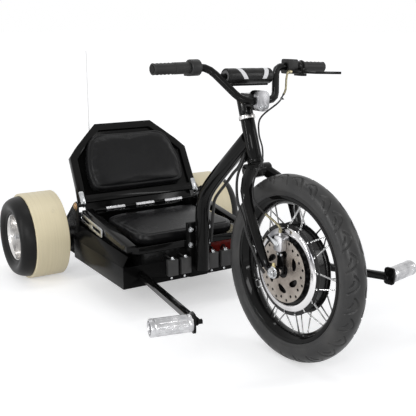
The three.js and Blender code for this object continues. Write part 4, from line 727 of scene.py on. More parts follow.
def steered(piece):
    """A piece built straight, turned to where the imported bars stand"""
    piece.data.transform(STEERED)
    piece.data.update()
    return piece


def stand_for(piece, material, body, *nodes):
    """Paint a finished piece, let it ride on its body and put it in its nodes' place"""
    painted(piece, material)
    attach(piece, body)
    if nodes:
        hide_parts(*nodes)
    return piece


print("turning helper ready")

# %% [markdown]
# ## The front tyre
# It is a street tyre with a round crown. Long curved grooves run from the shoulder towards the middle, with
# short slashes between them. A texture could fake them, but at the tyre's edge real grooves notch the outline.
# So the crown is spun finely, the grooves are painted into a vertex group, and Displace sinks them.

# %% Tyre section
tyre_half = [(203.6, 23.6), (209.4, 23.6), (209.4, 28.0), (211.5, 29.6), (213.5, 29.2), (217, 31.6), (222, 33.3),
             (228, 34.6)]
CROWN_STEPS = 34
CROWN_FOOT, CROWN_HEIGHT, CROWN_HALF_WIDTH = 234, 33, 35
STEPS_ROUND_TYRE = 840
for k in range(CROWN_STEPS + 1):
    lean = math.radians(90 - 90 * k / CROWN_STEPS)
    tyre_half.append((CROWN_FOOT + CROWN_HEIGHT * math.cos(lean) ** 0.94, CROWN_HALF_WIDTH * math.sin(lean)))
front_tyre = turned("front_tyre_tread", mirrored_section(tyre_half), STEPS_ROUND_TYRE, AXLE, 50)
print("tyre:", len(front_tyre.data.vertices), "points")

# %% Groove mask
import numpy as np

TREAD_PITCHES = 28
PITCH_LENGTH = 57.4
TREAD_DEPTH = 0.0038


def groove_lines():
    """One pitch of the tread as lines of (round the tyre, out from its middle) in mm, each with its half width"""
    turns = [k / 24 for k in range(25)]
    reach = [10 + (34 * (1 - q / 0.55) ** 2 if q < 0.55 else 13 * ((q - 0.55) / 0.45) ** 2) for q in turns]
    bracket = [((0.05 + 0.85 * q) * PITCH_LENGTH, out) for q, out in zip(turns, reach)]
    eighths = [k / 8 for k in range(9)]
    slash = [((0.36 + 0.3 * q) * PITCH_LENGTH, 37 - 12 * q - 3 * math.sin(math.pi * q)) for q in eighths]
    return [(bracket, 2.0), (slash, 1.9)]


def groove_depth(around, out):
    """Share of the full depth for places given in mm, by their distance to the nearest groove line"""
    depth = np.zeros(len(around))
    for line, half_width in groove_lines():
        for shift in (-PITCH_LENGTH, 0.0, PITCH_LENGTH):
            for (a0, b0), (a1, b1) in zip(line, line[1:]):
                length = (a1 - a0) ** 2 + (b1 - b0) ** 2
                along = np.clip(((around - a0 - shift) * (a1 - a0) + (out - b0) * (b1 - b0)) / length, 0, 1)
                apart = np.hypot(around - a0 - shift - along * (a1 - a0), out - b0 - along * (b1 - b0))
                depth = np.maximum(depth, np.clip((half_width - apart) / 1.1 + 0.35, 0, 1))
    return depth


def mesh_points(thing):
    """The points of a mesh as rows of an array"""
    flat = np.empty(len(thing.data.vertices) * 3)
    thing.data.vertices.foreach_get("co", flat)
    return flat.reshape(-1, 3)


print("one pitch has", len(groove_lines()), "groove lines")

# %% Sink the grooves
places = mesh_points(front_tyre)
across, up = places[:, 1] - AXLE.y, places[:, 2] - AXLE.z
lean_at = np.arcsin(np.clip(np.abs(places[:, 0]) / 0.035, 0, 1))
turn_at = (np.arctan2(across, up) / (2 * math.pi)) * TREAD_PITCHES + np.where(places[:, 0] > 0, 0.5, 0.0)
tread_depth = groove_depth((turn_at % 1.0) * PITCH_LENGTH, lean_at * 34.0)
tread_depth[np.hypot(across, up) < CROWN_FOOT * MM] = 0.0
tread = front_tyre.vertex_groups.new(name="tread")
for index in np.nonzero(tread_depth > 0.01)[0]:
    tread.add([int(index)], float(tread_depth[index]), "REPLACE")
apply_modifier(front_tyre, "DISPLACE", strength=-TREAD_DEPTH, mid_level=0.0, vertex_group="tread")
stand_for(steered(front_tyre), TYRE, "front_wheel", "front_tyre")
print("tread cut in", TREAD_PITCHES, "pitches")

# %% [markdown]
# ## Rim, drum and motor covers
# The rim is a black box section with rolled lips. The motor drum sits between two spoke flanges, and each end
# cover has a polished outer ring, a step and a shallow black dish. All are turned parts, so they're spun.

# %% Rim
rim_half = [(184, 0), (184, 7.5), (185.2, 10.5), (196.5, 26.6), (199, 28)] + arc(207.6, 26.6, 1.4, 90, -90, 5)
rim_half += [(203.2, 24), (203, 22), (203, 0)]
rim = turned("front_rim_section", mirrored_section(rim_half), 180, AXLE, 40)
stand_for(steered(rim), ENAMEL, "front_wheel", "front_rim")
print("rim:", len(rim.data.polygons), "faces")

# %% Drum between the flanges
drum_half = [(7.8, 22), (128, 22), (130.4, 21.2), (131, 20.2), (130.4, 18.6), (128, 18), (123, 17.6), (121, 15.4),
             (121, 0)]
drum = turned("motor_drum", mirrored_section(drum_half), 144, AXLE, 36)
DRUM = matt_black("drum_casting", 0.004, 0.24, 500.0, 0.00006)
stand_for(steered(drum), DRUM, "front_wheel", "hub_motor")
print("drum:", len(drum.data.polygons), "faces")


# %% End covers
def cover_section(side):
    """The outer face of the motor, from the bore out to the polished ring"""
    face = [(7.8, 22.4), (7.8, 36), (25.5, 36), (27, 34.8), (27.4, 31.6), (30, 30.6), (40, 29.4), (66, 27.4),
            (94, 25.2), (98.4, 25.0), (100.4, 26.4), (102, 28.4), (105, 29.4), (110, 29.0), (115, 27.6), (119, 25.6),
            (120.2, 23.8), (120.2, 22.4)]
    return [(radius, side * along) for radius, along in face]


for word, side in (("right", -1), ("left", 1)):
    cover = turned("motor_cover_turned_" + word, cover_section(side), 144, AXLE, 30)
    stand_for(steered(cover), COVER, "front_wheel", "motor_cover_" + word)
print("covers turned")

# %% [markdown]
# ## Thirty-six spokes
# Each spoke hooks through a flange, leaves it almost as a tangent, crosses its neighbours and ends in a nipple
# at the rim. One spoke is enough to model: it is a thin rod with a swelling at the rim end and a domed head at
# the flange. It is then copied round the axle, and half the copies lean the other way or start on the other side.

# %% Points about the axle, rods and far faces
def polar(along, radius, turn):
    """A point about the front axle, in metres"""
    return Vector((along * MM, AXLE.y + radius * MM * math.sin(turn), AXLE.z + radius * MM * math.cos(turn)))


def rod_between(name, start, end, radius, sides):
    """A plain rod from one point to another"""
    deselect()
    length = (end - start).length
    bpy.ops.mesh.primitive_cylinder_add(vertices=sides, radius=radius, depth=length, location=(start + end) / 2)
    made = bpy.context.object
    made.name = name
    made.rotation_euler = (end - start).to_track_quat("Z", "Y").to_euler()
    chosen(made)
    bpy.ops.object.transform_apply(location=True, rotation=True, scale=True)
    return made


def far_face(thing, direction):
    """Select, in edit mode, the one face that looks most along a direction"""
    mode("OBJECT")
    for face in thing.data.polygons:
        face.select = False
    best = max(thing.data.polygons, key=lambda f: f.normal.dot(direction) * 10 + f.center.dot(direction))
    best.select = True
    mode("EDIT")
    bpy.ops.mesh.select_mode(type="FACE")


print("rods ready")

# %% One spoke
SPOKES = 36
FLANGE_HOLES = 127.0
RIM_SEAT = 184.4


def one_spoke(side, lean):
    """A rod with its nipple from the flange to the rim, and the head that hooks through the flange"""
    start = polar(side * 20.0, FLANGE_HOLES, 0.0)
    end = polar(side * 2.0, RIM_SEAT, lean)
    along = (end - start).normalized()
    neck = end - along * 0.012
    spoke = rod_between("spoke", start, neck, 0.00095, 8)
    mode("EDIT")
    far_face(spoke, along)
    push(along * 0.0006, 1.7)
    push(along * 0.0105)
    push(along * 0.0012, 1.35)
    mode("OBJECT")
    hooked, bent = [polar(side * along, FLANGE_HOLES, 0.0) for along in (18.6, 22.4)]
    head = rod_between("spoke_head", hooked, bent, 0.0019, 10)
    out = Vector((side, 0, 0))
    mode("EDIT")
    far_face(head, out)
    push(out * 0.0005, 1.6)
    push(out * 0.0009, 0.55)
    mode("OBJECT")
    return [spoke, head]


print("a spoke runs from", FLANGE_HOLES, "to", RIM_SEAT, "mm")


# %% Join and copy
def joined(name, things):
    """Several meshes joined into one object"""
    deselect()
    for thing in things:
        thing.select_set(True)
    bpy.context.view_layer.objects.active = things[0]
    bpy.ops.object.join()
    made = bpy.context.object
    made.name = name
    return made


def copied(thing, matrix):
    """A copy with its own mesh, moved by a matrix"""
    made = bpy.data.objects.new(thing.name, thing.data.copy())
    made.data.transform(matrix)
    bpy.context.scene.collection.objects.link(made)
    return made


print("joining and copying ready")

# %% Lace the wheel
LEAN = 0.12
spoke_kinds = [joined("spoke_kind", one_spoke(side, lean)) for lean in (LEAN, -LEAN) for side in (1, -1)]
laced = []
for k in range(SPOKES):
    kind = spoke_kinds[(1 if k % 2 == 0 else 0) + (2 if (k // 2) % 2 == 0 else 0)]
    laced.append(copied(kind, about(AXLE, -2 * math.pi * k / SPOKES)))
for kind in spoke_kinds:
    bpy.data.objects.remove(kind)
spokes = joined("front_spokes", laced)
smooth(spokes, 40)
stand_for(steered(spokes), SPOKE, "front_wheel")
print(SPOKES, "spokes laced,", len(spokes.data.polygons), "faces")

# %% [markdown]
# ## Brake rotor
# The disc is laser-cut steel. Round holes sit in a ring near its rim, and six windows shaped like leaning beans leave
# curved arms between them. The outline is drawn flat, filled and extruded, and the cutters are taken away with
# the Boolean modifier, just as the laser takes them from the sheet.

# %% Flat plates across the axle
def plate_across(name, outline, low, high):
    """A plate whose outline is (y, z) points in metres, from low to high along X"""
    made = line_of(name, [Vector((low, y, z)) for y, z in outline])
    select_all()
    bpy.ops.mesh.edge_face_add()
    push((high - low, 0, 0))
    settled()
    return made


def wheel_point(radius, turn):
    """(y, z) of a point about the front axle"""
    point = polar(0, radius, turn)
    return (point.y, point.z)


print("plates ready")

# %% Cut the rotor
disc_face = -36.3 * MM
ROTOR_RADIUS, BORE_RADIUS, HOLE_RING, WINDOW_RING = 91, 21, 80, 53
STAGGER = 4.2
hole = 4.2 * MM
outer = [wheel_point(ROTOR_RADIUS, turn) for turn in full_turn(120)]
rotor = plate_across("rotor_disc", outer, disc_face - 2 * MM, disc_face)
holes = [[wheel_point(BORE_RADIUS, turn) for turn in full_turn(32)]]
for k, turn in enumerate(full_turn(24)):
    middle = polar(0, HOLE_RING + (STAGGER if k % 2 else -STAGGER), turn)
    holes.append([(middle.y + hole * math.cos(a), middle.z + hole * math.sin(a)) for a in full_turn(14)])
for base in full_turn(6):
    bean = [(WINDOW_RING + 11.5 * math.sin(t), base + 0.27 * math.cos(t) + 0.17 * math.sin(t)) for t in full_turn(26)]
    holes.append([wheel_point(r, t) for r, t in bean])
cutters = [plate_across("cutter", outline, disc_face - 0.006, disc_face + 0.004) for outline in holes]
laser = joined("laser_cutters", cutters)
apply_modifier(rotor, "BOOLEAN", operation="DIFFERENCE", solver="EXACT", object=laser)
bpy.data.objects.remove(laser)
rounded(rotor, 0.0003, 1, 50)
smooth(rotor, 30)
stand_for(steered(rotor), ROTOR, "front_wheel", "brake_rotor")
print("rotor cut:", len(rotor.data.polygons), "faces")

# %% [markdown]
# ## Rear wheels
# A slick tyre bulges from both ends of a cream plastic sleeve, and its rim is a dished alloy casting. Each part
# is spun once for the rider's left and mirrored for the right. The sleeve keeps a sharp turned edge.

# %% Rear wheel sections
sleeve_section = [(151, 293), (159, 293), (160, 294)] + [(160, 293 + 124 * k / 6) for k in range(1, 6)]
sleeve_section += [(160, 415.4), (158.6, 417), (151, 417)]
tyre_section = [(86, 447), (88.5, 451.5), (92, 453.6), (96, 454.2), (97.5, 456), (103, 460), (110, 464), (118, 466.6),
                (126, 466.2), (133, 462.6), (139, 456), (144, 447.4), (147.6, 437), (149.8, 426), (150.6, 417),
                (150.6, 293), (148.6, 289), (142, 286), (128, 284.4), (110, 285.6), (94, 288), (86, 290)]
bulge = [(85.2, 293), (85.2, 300), (83.6, 308), (83.6, 434), (85.2, 442)]
rim_section = [(8.8, 297), (26, 297), (26, 388), (34, 393), (60, 396), (76, 396), (80, 392), (80, 293)] + bulge + [
    (86.6, 446), (86.6, 448.4), (85.2, 449.6), (83.4, 449), (82, 446.4), (79, 440), (78.6, 410), (75, 403.4),
    (60, 401.4), (40, 400), (30, 402), (26, 410), (24, 411.4), (12, 411.4), (8.8, 411.4)]
print("sleeve, tyre and rim drawn")


# %% Spin and mirror the rear wheels
def rear_piece(name, section, steps, material, node, crisp):
    """One turned part of the rear wheel, for the left side and mirrored for the right"""
    left = turned(name + "_left", section, steps, REAR_AXLE, crisp)
    right = copied(left, Matrix.Scale(-1, 4, (1, 0, 0)))
    right.name = name + "_right"
    chosen(right)
    mode("EDIT")
    settled()
    smooth(right, crisp)
    for word, made in (("left", left), ("right", right)):
        stand_for(made, material, "rear_wheel_" + word, node + "_" + word)


rear_piece("sleeve_pipe", sleeve_section, 180, CREAM, "rear_sleeve", 30)
rear_piece("slick_tyre", tyre_section, 180, REAR_TYRE, "rear_tyre", 60)
rear_piece("dished_rim", rim_section, 144, RIM_ALLOY, "rear_rim", 30)
print("rear wheels turned")

# %% [markdown]
# ## The two cushions
# Both cushions are foam in black leather cloth, with no buttons and no piping. Foam pushes the cover out until
# its edges are round and its faces crown. Cloth simulation does just that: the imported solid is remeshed, drawn
# in a little, and blown up with pressure while the face that rests on steel is pinned flat. The crown is then
# pressed nearly flat, as a board-backed seat's is. The seams come last, because a remesh would erase them: a
# groove follows the outline of each face, and a raised welt runs just outside it.

# %% Blow up a cushion
def set_points(thing, points):
    """Move the points of a mesh to the rows of an array"""
    thing.data.vertices.foreach_set("co", points.reshape(-1))
    thing.data.update()


CLOTH = {"quality": 6, "mass": 0.4, "tension_stiffness": 40, "compression_stiffness": 40, "bending_stiffness": 4.0,
         "use_pressure": True, "uniform_pressure_force": 4.0, "vertex_group_mass": "held"}
CLOTH_FRAMES = 20


def swell(cushion, start, cap):
    """Run the cloth under pressure, and let no point move further than the cap"""
    chosen(cushion)
    cloth = cushion.modifiers.new("foam", "CLOTH")
    for key, value in CLOTH.items():
        setattr(cloth.settings, key, value)
    cloth.settings.effector_weights.gravity = 0.0
    cloth.point_cache.frame_start = 1
    cloth.point_cache.frame_end = CLOTH_FRAMES
    for step in range(1, CLOTH_FRAMES + 1):
        bpy.context.scene.frame_set(step)
    bpy.ops.object.modifier_apply(modifier=cloth.name)
    bpy.context.scene.frame_set(1)
    moved = mesh_points(cushion) - start
    length = np.linalg.norm(moved, axis=1, keepdims=True)
    limit = cap * np.tanh(length / cap)
    set_points(cushion, start + moved * limit / np.maximum(length, 1e-9))


print("cloth runs for", CLOTH_FRAMES, "frames")

# %% Prepare a cushion
REST_DEPTH = 0.007
DRAW_IN = 0.002
VOXEL = 0.005


def inflated(node, name, rest_normal, cap, grow):
    """A packed cushion solid remeshed, drawn in and blown up, flat on the side that it rests on"""
    cushion = solid_copy(node, name)
    normal = np.array(rest_normal)
    middle = (Vector(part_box(node)[0]) + Vector(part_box(node)[1])) / 2
    across = Matrix.Scale(grow, 4, (1, 0, 0)) @ Matrix.Scale(grow, 4, Vector(rest_normal).cross((1, 0, 0)))
    cushion.data.transform(Matrix.Translation(middle) @ across @ Matrix.Translation(-middle))
    apply_modifier(cushion, "REMESH", mode="VOXEL", voxel_size=VOXEL)
    apply_modifier(cushion, "SMOOTH", factor=0.5, iterations=3)
    height = mesh_points(cushion) @ normal
    resting = height < height.min() + REST_DEPTH
    apply_modifier(cushion, "DISPLACE", strength=-DRAW_IN, mid_level=0.0)
    start = mesh_points(cushion)
    start += np.outer(np.clip(height.min() - start @ normal, -1, 0) * resting, normal)
    set_points(cushion, start)
    held = cushion.vertex_groups.new(name="held")
    for index in np.nonzero(resting)[0]:
        held.add([int(index)], 1.0, "REPLACE")
    swell(cushion, start, cap)
    apply_modifier(cushion, "SMOOTH", factor=0.5, iterations=3)
    apply_modifier(cushion, "SUBSURF", levels=1, render_levels=1)
    print(name, len(cushion.data.vertices), "points")
    return cushion


print("cushions rest on their lowest", REST_DEPTH, "metres")

# %% Sink a seam
FACE_DEPTH = 0.022


def sink(cushion, centre_of, depth, half_width):
    """Press a soft groove into a cushion where centre_of gives a distance near zero"""
    points = mesh_points(cushion)
    normals = np.empty(len(points) * 3)
    cushion.data.vertices.foreach_get("normal", normals)
    near = np.exp(-(centre_of(points) / half_width) ** 2)
    set_points(cushion, points - normals.reshape(-1, 3) * (near * depth)[:, None])


def flatten(cushion, normal, depth, softness):
    """Press the crown of the outer face down, so that it's flat and its edge crisper"""
    points = mesh_points(cushion)
    up = points @ np.array(normal)
    over = np.maximum(up - (up.max() - depth), 0)
    set_points(cushion, points + np.outer(softness * np.tanh(over / softness) - over, normal))


def from_outline(points, normal):
    """How far points lie inside the cushion's outline, as seen along the normal"""
    flat = np.stack([points[:, 0], points @ np.cross(normal, (1, 0, 0))], axis=1)
    turns = np.linspace(0, 2 * math.pi, 60, endpoint=False)
    reach = flat @ np.stack([np.cos(turns), np.sin(turns)])
    return (reach.max(axis=0) - reach).min(axis=1)


def face_line(normal, inset):
    """A line on the outer face that follows its outline at an inset"""
    def distance(points):
        up = points @ np.array(normal)
        return np.where(up > up.max() - FACE_DEPTH, from_outline(points, normal) - inset, 1.0)
    return distance


print("seams ready")


# %% Face, seams and cover
def covered(cushion, body, node):
    """The finished cushion in its cloth"""
    chosen(cushion)
    bpy.ops.object.shade_smooth()
    stand_for(cushion, VINYL, body, node)


CROWN_DEPTH, CROWN_LEFT = 0.012, 0.005
SEAM_INSET, SEAM_DEPTH = 0.013, 0.0022
WELT_INSET, WELT_HEIGHT = 0.0065, 0.0012
LINE_WIDTH = 0.003


def face_seams(cushion, normal):
    """A flat face with a groove along its outline, and a welt outside the groove"""
    flatten(cushion, normal, CROWN_DEPTH, CROWN_LEFT)
    sink(cushion, face_line(normal, SEAM_INSET), SEAM_DEPTH, LINE_WIDTH)
    sink(cushion, face_line(normal, WELT_INSET), -WELT_HEIGHT, LINE_WIDTH)


print("a welt", WELT_INSET, "and a groove", SEAM_INSET, "metres in from the outline")

# %% Seat cushion
PAN_TILT = math.atan2(52, 381)
PAN_UP = (0.0, -math.sin(PAN_TILT), math.cos(PAN_TILT))
seat = inflated("seat_cushion", "seat_cushion_vinyl", PAN_UP, 0.004, 1.06)
seat_low, seat_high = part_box("seat_cushion")
CORNER_IN, CORNER_BACK = 0.02, 0.022
WALL_HEIGHT, FRONT_DEPTH = 0.04, 0.06


def corner_seam(points):
    """Distance to the upright seams at the two front corners"""
    x = np.abs(points[:, 0]) - (seat_high[0] - CORNER_IN)
    y = points[:, 1] - (seat_low[1] + CORNER_BACK)
    up = points @ np.array(PAN_UP)
    on_wall = (up < up.min() + WALL_HEIGHT) & (points[:, 1] < seat_low[1] + FRONT_DEPTH)
    return np.where(on_wall, (x - y) / 1.414, 1.0)


face_seams(seat, PAN_UP)
sink(seat, corner_seam, 0.002, LINE_WIDTH)
covered(seat, "frame", "seat_cushion")
print("seat covered, tilted by", round(math.degrees(PAN_TILT), 1), "degrees")

# %% Backrest cushion
RECLINE = math.atan2(151, 272)
BACK_OUT = (0.0, -math.cos(RECLINE), math.sin(RECLINE))
back_pad = inflated("backrest_cushion", "back_cushion_vinyl", BACK_OUT, 0.003, 1.05)
face_seams(back_pad, BACK_OUT)
covered(back_pad, "backrest", "backrest_cushion")
print("backrest covered, leaning back by", round(math.degrees(RECLINE), 1), "degrees")

# %% [markdown]
# ## The crossbar pad
# A foam roll is laced round the crossbar in a vinyl cover. The cover is turned in over the ends of the foam, so
# each end shows a grey ring of foam round a dark hole. It closes underneath in a flap. Two slanted white stripes
# are printed on it, which are only paint, so they belong to the material.

# %% Pad materials
PAD_AXIS = Vector((0.0, -0.2574, 0.7862))
STRIPE_HALF_WIDTH = 0.0078


def pad_cover():
    """Black vinyl with two slanted white stripes over its front and top"""
    cloth = Finish("pad_cover_vinyl")
    x, y, z = cloth.axes(cloth.straight_place())
    height = z - PAD_AXIS.z
    falling = ((x + 0.024) + height * 0.62).of("ABSOLUTE") < STRIPE_HALF_WIDTH
    rising = ((x - 0.0495) - height * 0.5).of("ABSOLUTE") < STRIPE_HALF_WIDTH
    upper = (height > -0.007) * (y < PAD_AXIS.y + 0.012)
    stripe = falling.of("MAXIMUM", rising) * upper
    cells = {"Vector": cloth.place(), "Scale": 700.0}
    grain = cloth.between(cloth.node("ShaderNodeTexVoronoi", {"feature": "DISTANCE_TO_EDGE"}, cells), 0.0, 0.25)
    pull = cloth.noise(30.0, 3.0)
    black = cloth.mix(cloth.between(pull, 0.35, 0.65) * 0.6, tone(0.008), tone(0.018))
    colour = cloth.mix(stripe, black, tone(0.74, 0.74, 0.75))
    gloss = cloth.between(pull, 0.35, 0.65, 0.2, 0.32) + stripe * 0.1
    creases = cloth.bump(pull, 0.0012, 0.35)
    relief = cloth.bump(grain, 0.00006, 0.4, creases)
    return cloth.surface(Base_Color=colour, Roughness=gloss, IOR=1.27, Normal=relief)


FOAM = matt_black("foam_end", 0.16, 0.9, 1400.0, 0.0002, 0.3)
PAD_COVER = pad_cover()
print("pad cover and foam ready")

# %% Pad roll
pad_half_section = [(9.0, 78.2), (17.4, 78.6), (17.8, 80.0), (19.2, 80.8), (21.4, 80.2), (22.7, 78.4), (23.1, 75.0),
                    (22.9, 66)]
pad_half_section += [(23.0 + 0.25 * math.sin(k * 1.7), 66 - 11 * k) for k in range(1, 6)]
pad_section = [(9.0, 0)] + pad_half_section + [(23.0, 0)] + [(r, -x) for r, x in reversed(pad_half_section)]
FOAM_FROM, FOAM_RADIUS = 0.0775, 0.0176
crossbar_roll = turned("crossbar_pad_roll", pad_section, 64, PAD_AXIS, 60)
for material in (PAD_COVER, FOAM):
    crossbar_roll.data.materials.append(material)
for face in crossbar_roll.data.polygons:
    away = math.hypot(face.center.y - PAD_AXIS.y, face.center.z - PAD_AXIS.z)
    face.material_index = 1 if abs(face.center.x) > FOAM_FROM and away < FOAM_RADIUS else 0
steered(crossbar_roll)
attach(crossbar_roll, "steering")
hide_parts("crossbar_pad")
print("pad roll", len(crossbar_roll.data.polygons), "faces")


# %% Pad flap
def bar_of(name, low, high, bevel, segments=2):
    """A block between two corners in mm with rounded edges, as a start for small fittings"""
    deselect()
    size = [(h - l) * MM for l, h in zip(low, high)]
    middle = [(h + l) / 2 * MM for l, h in zip(low, high)]
    bpy.ops.mesh.primitive_cube_add(size=1, location=middle)
    made = bpy.context.object
    made.name = name
    made.scale = size
    bpy.ops.object.transform_apply(location=True, rotation=True, scale=True)
    rounded(made, bevel, segments, 30)
    return smooth(made, 40)


flap_y, flap_z = PAD_AXIS.y * 1000, PAD_AXIS.z * 1000
flap = bar_of("crossbar_pad_flap", (-76, flap_y - 3.4, flap_z - 27.4), (76, flap_y + 1.6, flap_z - 18), 0.0014, 3)
stand_for(steered(flap), PAD_VINYL, "steering")
print("flap closed under the pad")

# %% [markdown]
# ## Screws, bolts and nuts
# Small fasteners catch the light more than anything near them. A socket screw is a short cylinder with a rounded
# edge and a hole in its top; a hexagon bolt has a domed head on a washer. Each kind is modelled once as a function
# and set down wherever the solids already carry a plain head, a hair larger, so that it covers it.

# %% Fasteners
def cap_screw(name, base, out, radius, height, sides=24, hole=0.5):
    """A screw head that stands on a point and looks along a direction, with a hole in its top"""
    direction = Vector(out).normalized()
    start = Vector(base) * MM
    head = rod_between(name, start, start + direction * height * MM, radius * MM, sides)
    rounded(head, min(radius, height) * 0.22 * MM, 3, 50)
    far_face(head, direction)
    bpy.ops.mesh.inset(thickness=radius * (0.78 - hole) * MM, depth=0)
    push(direction * -height * 0.45 * MM)
    mode("OBJECT")
    return smooth(head, 36)


def dome_bolt(name, base, out, radius, height):
    """A hexagon head with a chamfered dome, standing on a round washer"""
    direction = Vector(out).normalized()
    start = Vector(base) * MM
    washer = rod_between(name + "_washer", start, start + direction * height * 0.2 * MM, radius * 1.22 * MM, 28)
    rounded(washer, height * 0.06 * MM, 2, 50)
    low, high = [start + direction * height * share * MM for share in (0.18, 0.72)]
    head = rod_between(name, low, high, radius * MM, 6)
    far_face(head, direction)
    push(direction * height * 0.18 * MM, 0.8)
    push(direction * height * 0.1 * MM, 0.55)
    mode("OBJECT")
    rounded(head, radius * 0.05 * MM, 2, 40)
    return smooth(joined(name, [head, washer]), 30)


print("screws and bolts ready")


# %% Fit fasteners
def fit(name, things, material, body, turn=False, *nodes):
    """Fasteners of one kind joined into one piece on a body"""
    made = joined(name, things) if len(things) > 1 else things[0]
    made.name = name
    if turn:
        steered(made)
    return stand_for(made, material, body, *nodes)


print("fitting ready")

# %% Faceplate, frame flange and terminal screws
plate_screws = [cap_screw("screw", (x, -334.6, 703.9), (0, -1, 0), 5.2, 5.2) for x in (-9, 9)]
fit("faceplate_screws", plate_screws, ZINC, "steering", True)
flange_bolts = [dome_bolt("bolt", (x, 9.9, z), (0, -1, 0), 7.9, 8.6) for x in (-33, 33) for z in (215, 268)]
fit("frame_flange_bolts", flange_bolts, ZINC, "frame")
BLOCKS = (-104, -54, 54, 104)
block_bolts = [dome_bolt("bolt", (x, 12, 176.6), (0, 0, 1), 6.8, 8.6) for x in BLOCKS]
fit("terminal_bolts", block_bolts, ZINC, "frame")
wall_screws = [cap_screw("screw", (x, 19.6, 108), (0, -1, 0), 4.2, 3.0, 18, 0.4) for x in BLOCKS]
fit("box_wall_screws", wall_screws, ZINC, "frame")
print("front fasteners set")

# %% [markdown]
# ## Cables
# The brake cable leaves the lever perch, sweeps across the front of the head tube and drops to the caliper. Its
# ends run in yellowish spring sleeves with brass ends, and two cable ties hold it. The route is that of the packed
# solid, so the visible cable lies where the solid does: a smooth curve through the same points.

# %% Where the cables start
HEAD_LENGTH = 0.11775
BAR_RISE = Vector((0.125, -0.235, 0.812))
BAR_ALONG = (Vector((0.312, -0.241, 0.808)) - BAR_RISE).normalized()
BAR_TURN = Vector((1, 0, 0)).rotation_difference(BAR_ALONG)
PERCH_END = BAR_RISE + BAR_ALONG * 0.0831 + BAR_TURN @ Vector((-0.045, -0.028, -0.015))


def from_head(x, y, z):
    """A point near the head tube, in lengths of the tube from its foot"""
    return HEAD_FOOT + Vector((x, y, z)) * HEAD_LENGTH


print("the brake cable starts at", [round(v, 3) for v in PERCH_END])


# %% Smooth route
def smooth_route(points, per_span=10):
    """Points on the centripetal curve through the given ones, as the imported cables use"""
    full = [points[0] * 2 - points[1]] + list(points) + [points[-1] * 2 - points[-2]]
    route = []
    for p0, p1, p2, p3 in zip(full, full[1:], full[2:], full[3:]):
        t1 = (p1 - p0).length ** 0.5
        t2 = t1 + (p2 - p1).length ** 0.5
        t3 = t2 + (p3 - p2).length ** 0.5
        for k in range(per_span):
            t = t1 + (t2 - t1) * k / per_span
            a1 = p0 * ((t1 - t) / t1) + p1 * (t / t1)
            a2 = p1 * ((t2 - t) / (t2 - t1)) + p2 * ((t - t1) / (t2 - t1))
            a3 = p2 * ((t3 - t) / (t3 - t2)) + p3 * ((t - t2) / (t3 - t2))
            b1 = a1 * ((t2 - t) / t2) + a2 * (t / t2)
            b2 = a2 * ((t3 - t) / (t3 - t1)) + a3 * ((t - t1) / (t3 - t1))
            route.append(b1 * ((t2 - t) / (t2 - t1)) + b2 * ((t - t1) / (t2 - t1)))
    return route + [points[-1]]


print("routes ready")


# %% A cable along a route
def cable_run(name, route, radius, sides=3, ribs=0.0):
    """A round cable along a route, made as a bevelled curve and turned into a mesh"""
    data = bpy.data.curves.new(name, "CURVE")
    data.dimensions = "3D"
    data.bevel_depth = radius * MM
    data.bevel_resolution = sides
    data.use_fill_caps = True
    line = data.splines.new("POLY")
    line.points.add(len(route) - 1)
    for k, point in enumerate(route):
        line.points[k].co = (*point, 1.0)
        line.points[k].radius = 1.0 + (ribs if k % 2 else -ribs)
    made = bpy.data.objects.new(name, data)
    bpy.context.scene.collection.objects.link(made)
    chosen(made)
    bpy.ops.object.convert(target="MESH")
    made = bpy.context.object
    return smooth(made, 50)


print("cables ready")


# %% Parts of a route
def lengths_along(route):
    """How far along a route each of its points lies"""
    lengths = [0.0]
    for a, b in zip(route, route[1:]):
        lengths.append(lengths[-1] + (b - a).length)
    return lengths


def stretch(route, start, end):
    """The part of a route between two shares of its length"""
    lengths = lengths_along(route)
    return [p for p, s in zip(route, lengths) if start * lengths[-1] <= s <= end * lengths[-1]]


def evenly(route, count):
    """The same route with evenly spaced points"""
    lengths = lengths_along(route)
    placed, at = [], 0
    for k in range(count):
        want = lengths[-1] * k / (count - 1)
        while at < len(lengths) - 2 and lengths[at + 1] < want:
            at += 1
        share = (want - lengths[at]) / max(1e-9, lengths[at + 1] - lengths[at])
        placed.append(route[at].lerp(route[at + 1], min(1.0, share)))
    return placed


print("stretches ready")

# %% Brake cable
caliper_end = Vector((-0.05, -0.487, 0.3773))
brake_points = [PERCH_END, PERCH_END - Vector((0.012, 0, 0))] + [from_head(*p) for p in (
    (1.17, 0.3, 1.92), (1.1, 0.23, 1.66), (0.88, 0.09, 1.5), (0.36, -0.35, 1.39), (-0.1, -0.26, 1.02),
    (-0.07, -0.2, 0.65), (-0.07, -0.35, 0.32), (-0.12, -0.42, 0.03), (-0.34, -0.5, -0.22), (-0.56, -0.65, -0.5),
    (-0.65, -0.8, -0.78), (-0.54, -1.03, -1.07), (-0.46, -1.35, -1.24))]
brake_points += [caliper_end + Vector((0, 0, 0.012)), caliper_end]
brake_route = smooth_route(brake_points)
fit("brake_cable_jacket", [cable_run("jacket", brake_route, 2.6)], CABLE, "steering", True, "brake_cable")
upper_sleeve = evenly(stretch(brake_route, 0.02, 0.15), 56)
lower_sleeve = evenly(stretch(brake_route, 0.88, 0.985), 52)
sleeves = [cable_run("sleeve", upper_sleeve, 3.3, 3, 0.1), cable_run("sleeve", lower_sleeve, 3.3, 3, 0.1)]
fit("brake_cable_sleeves", sleeves, BRASS, "steering", True)


print("brake cable run,", len(brake_route), "points")


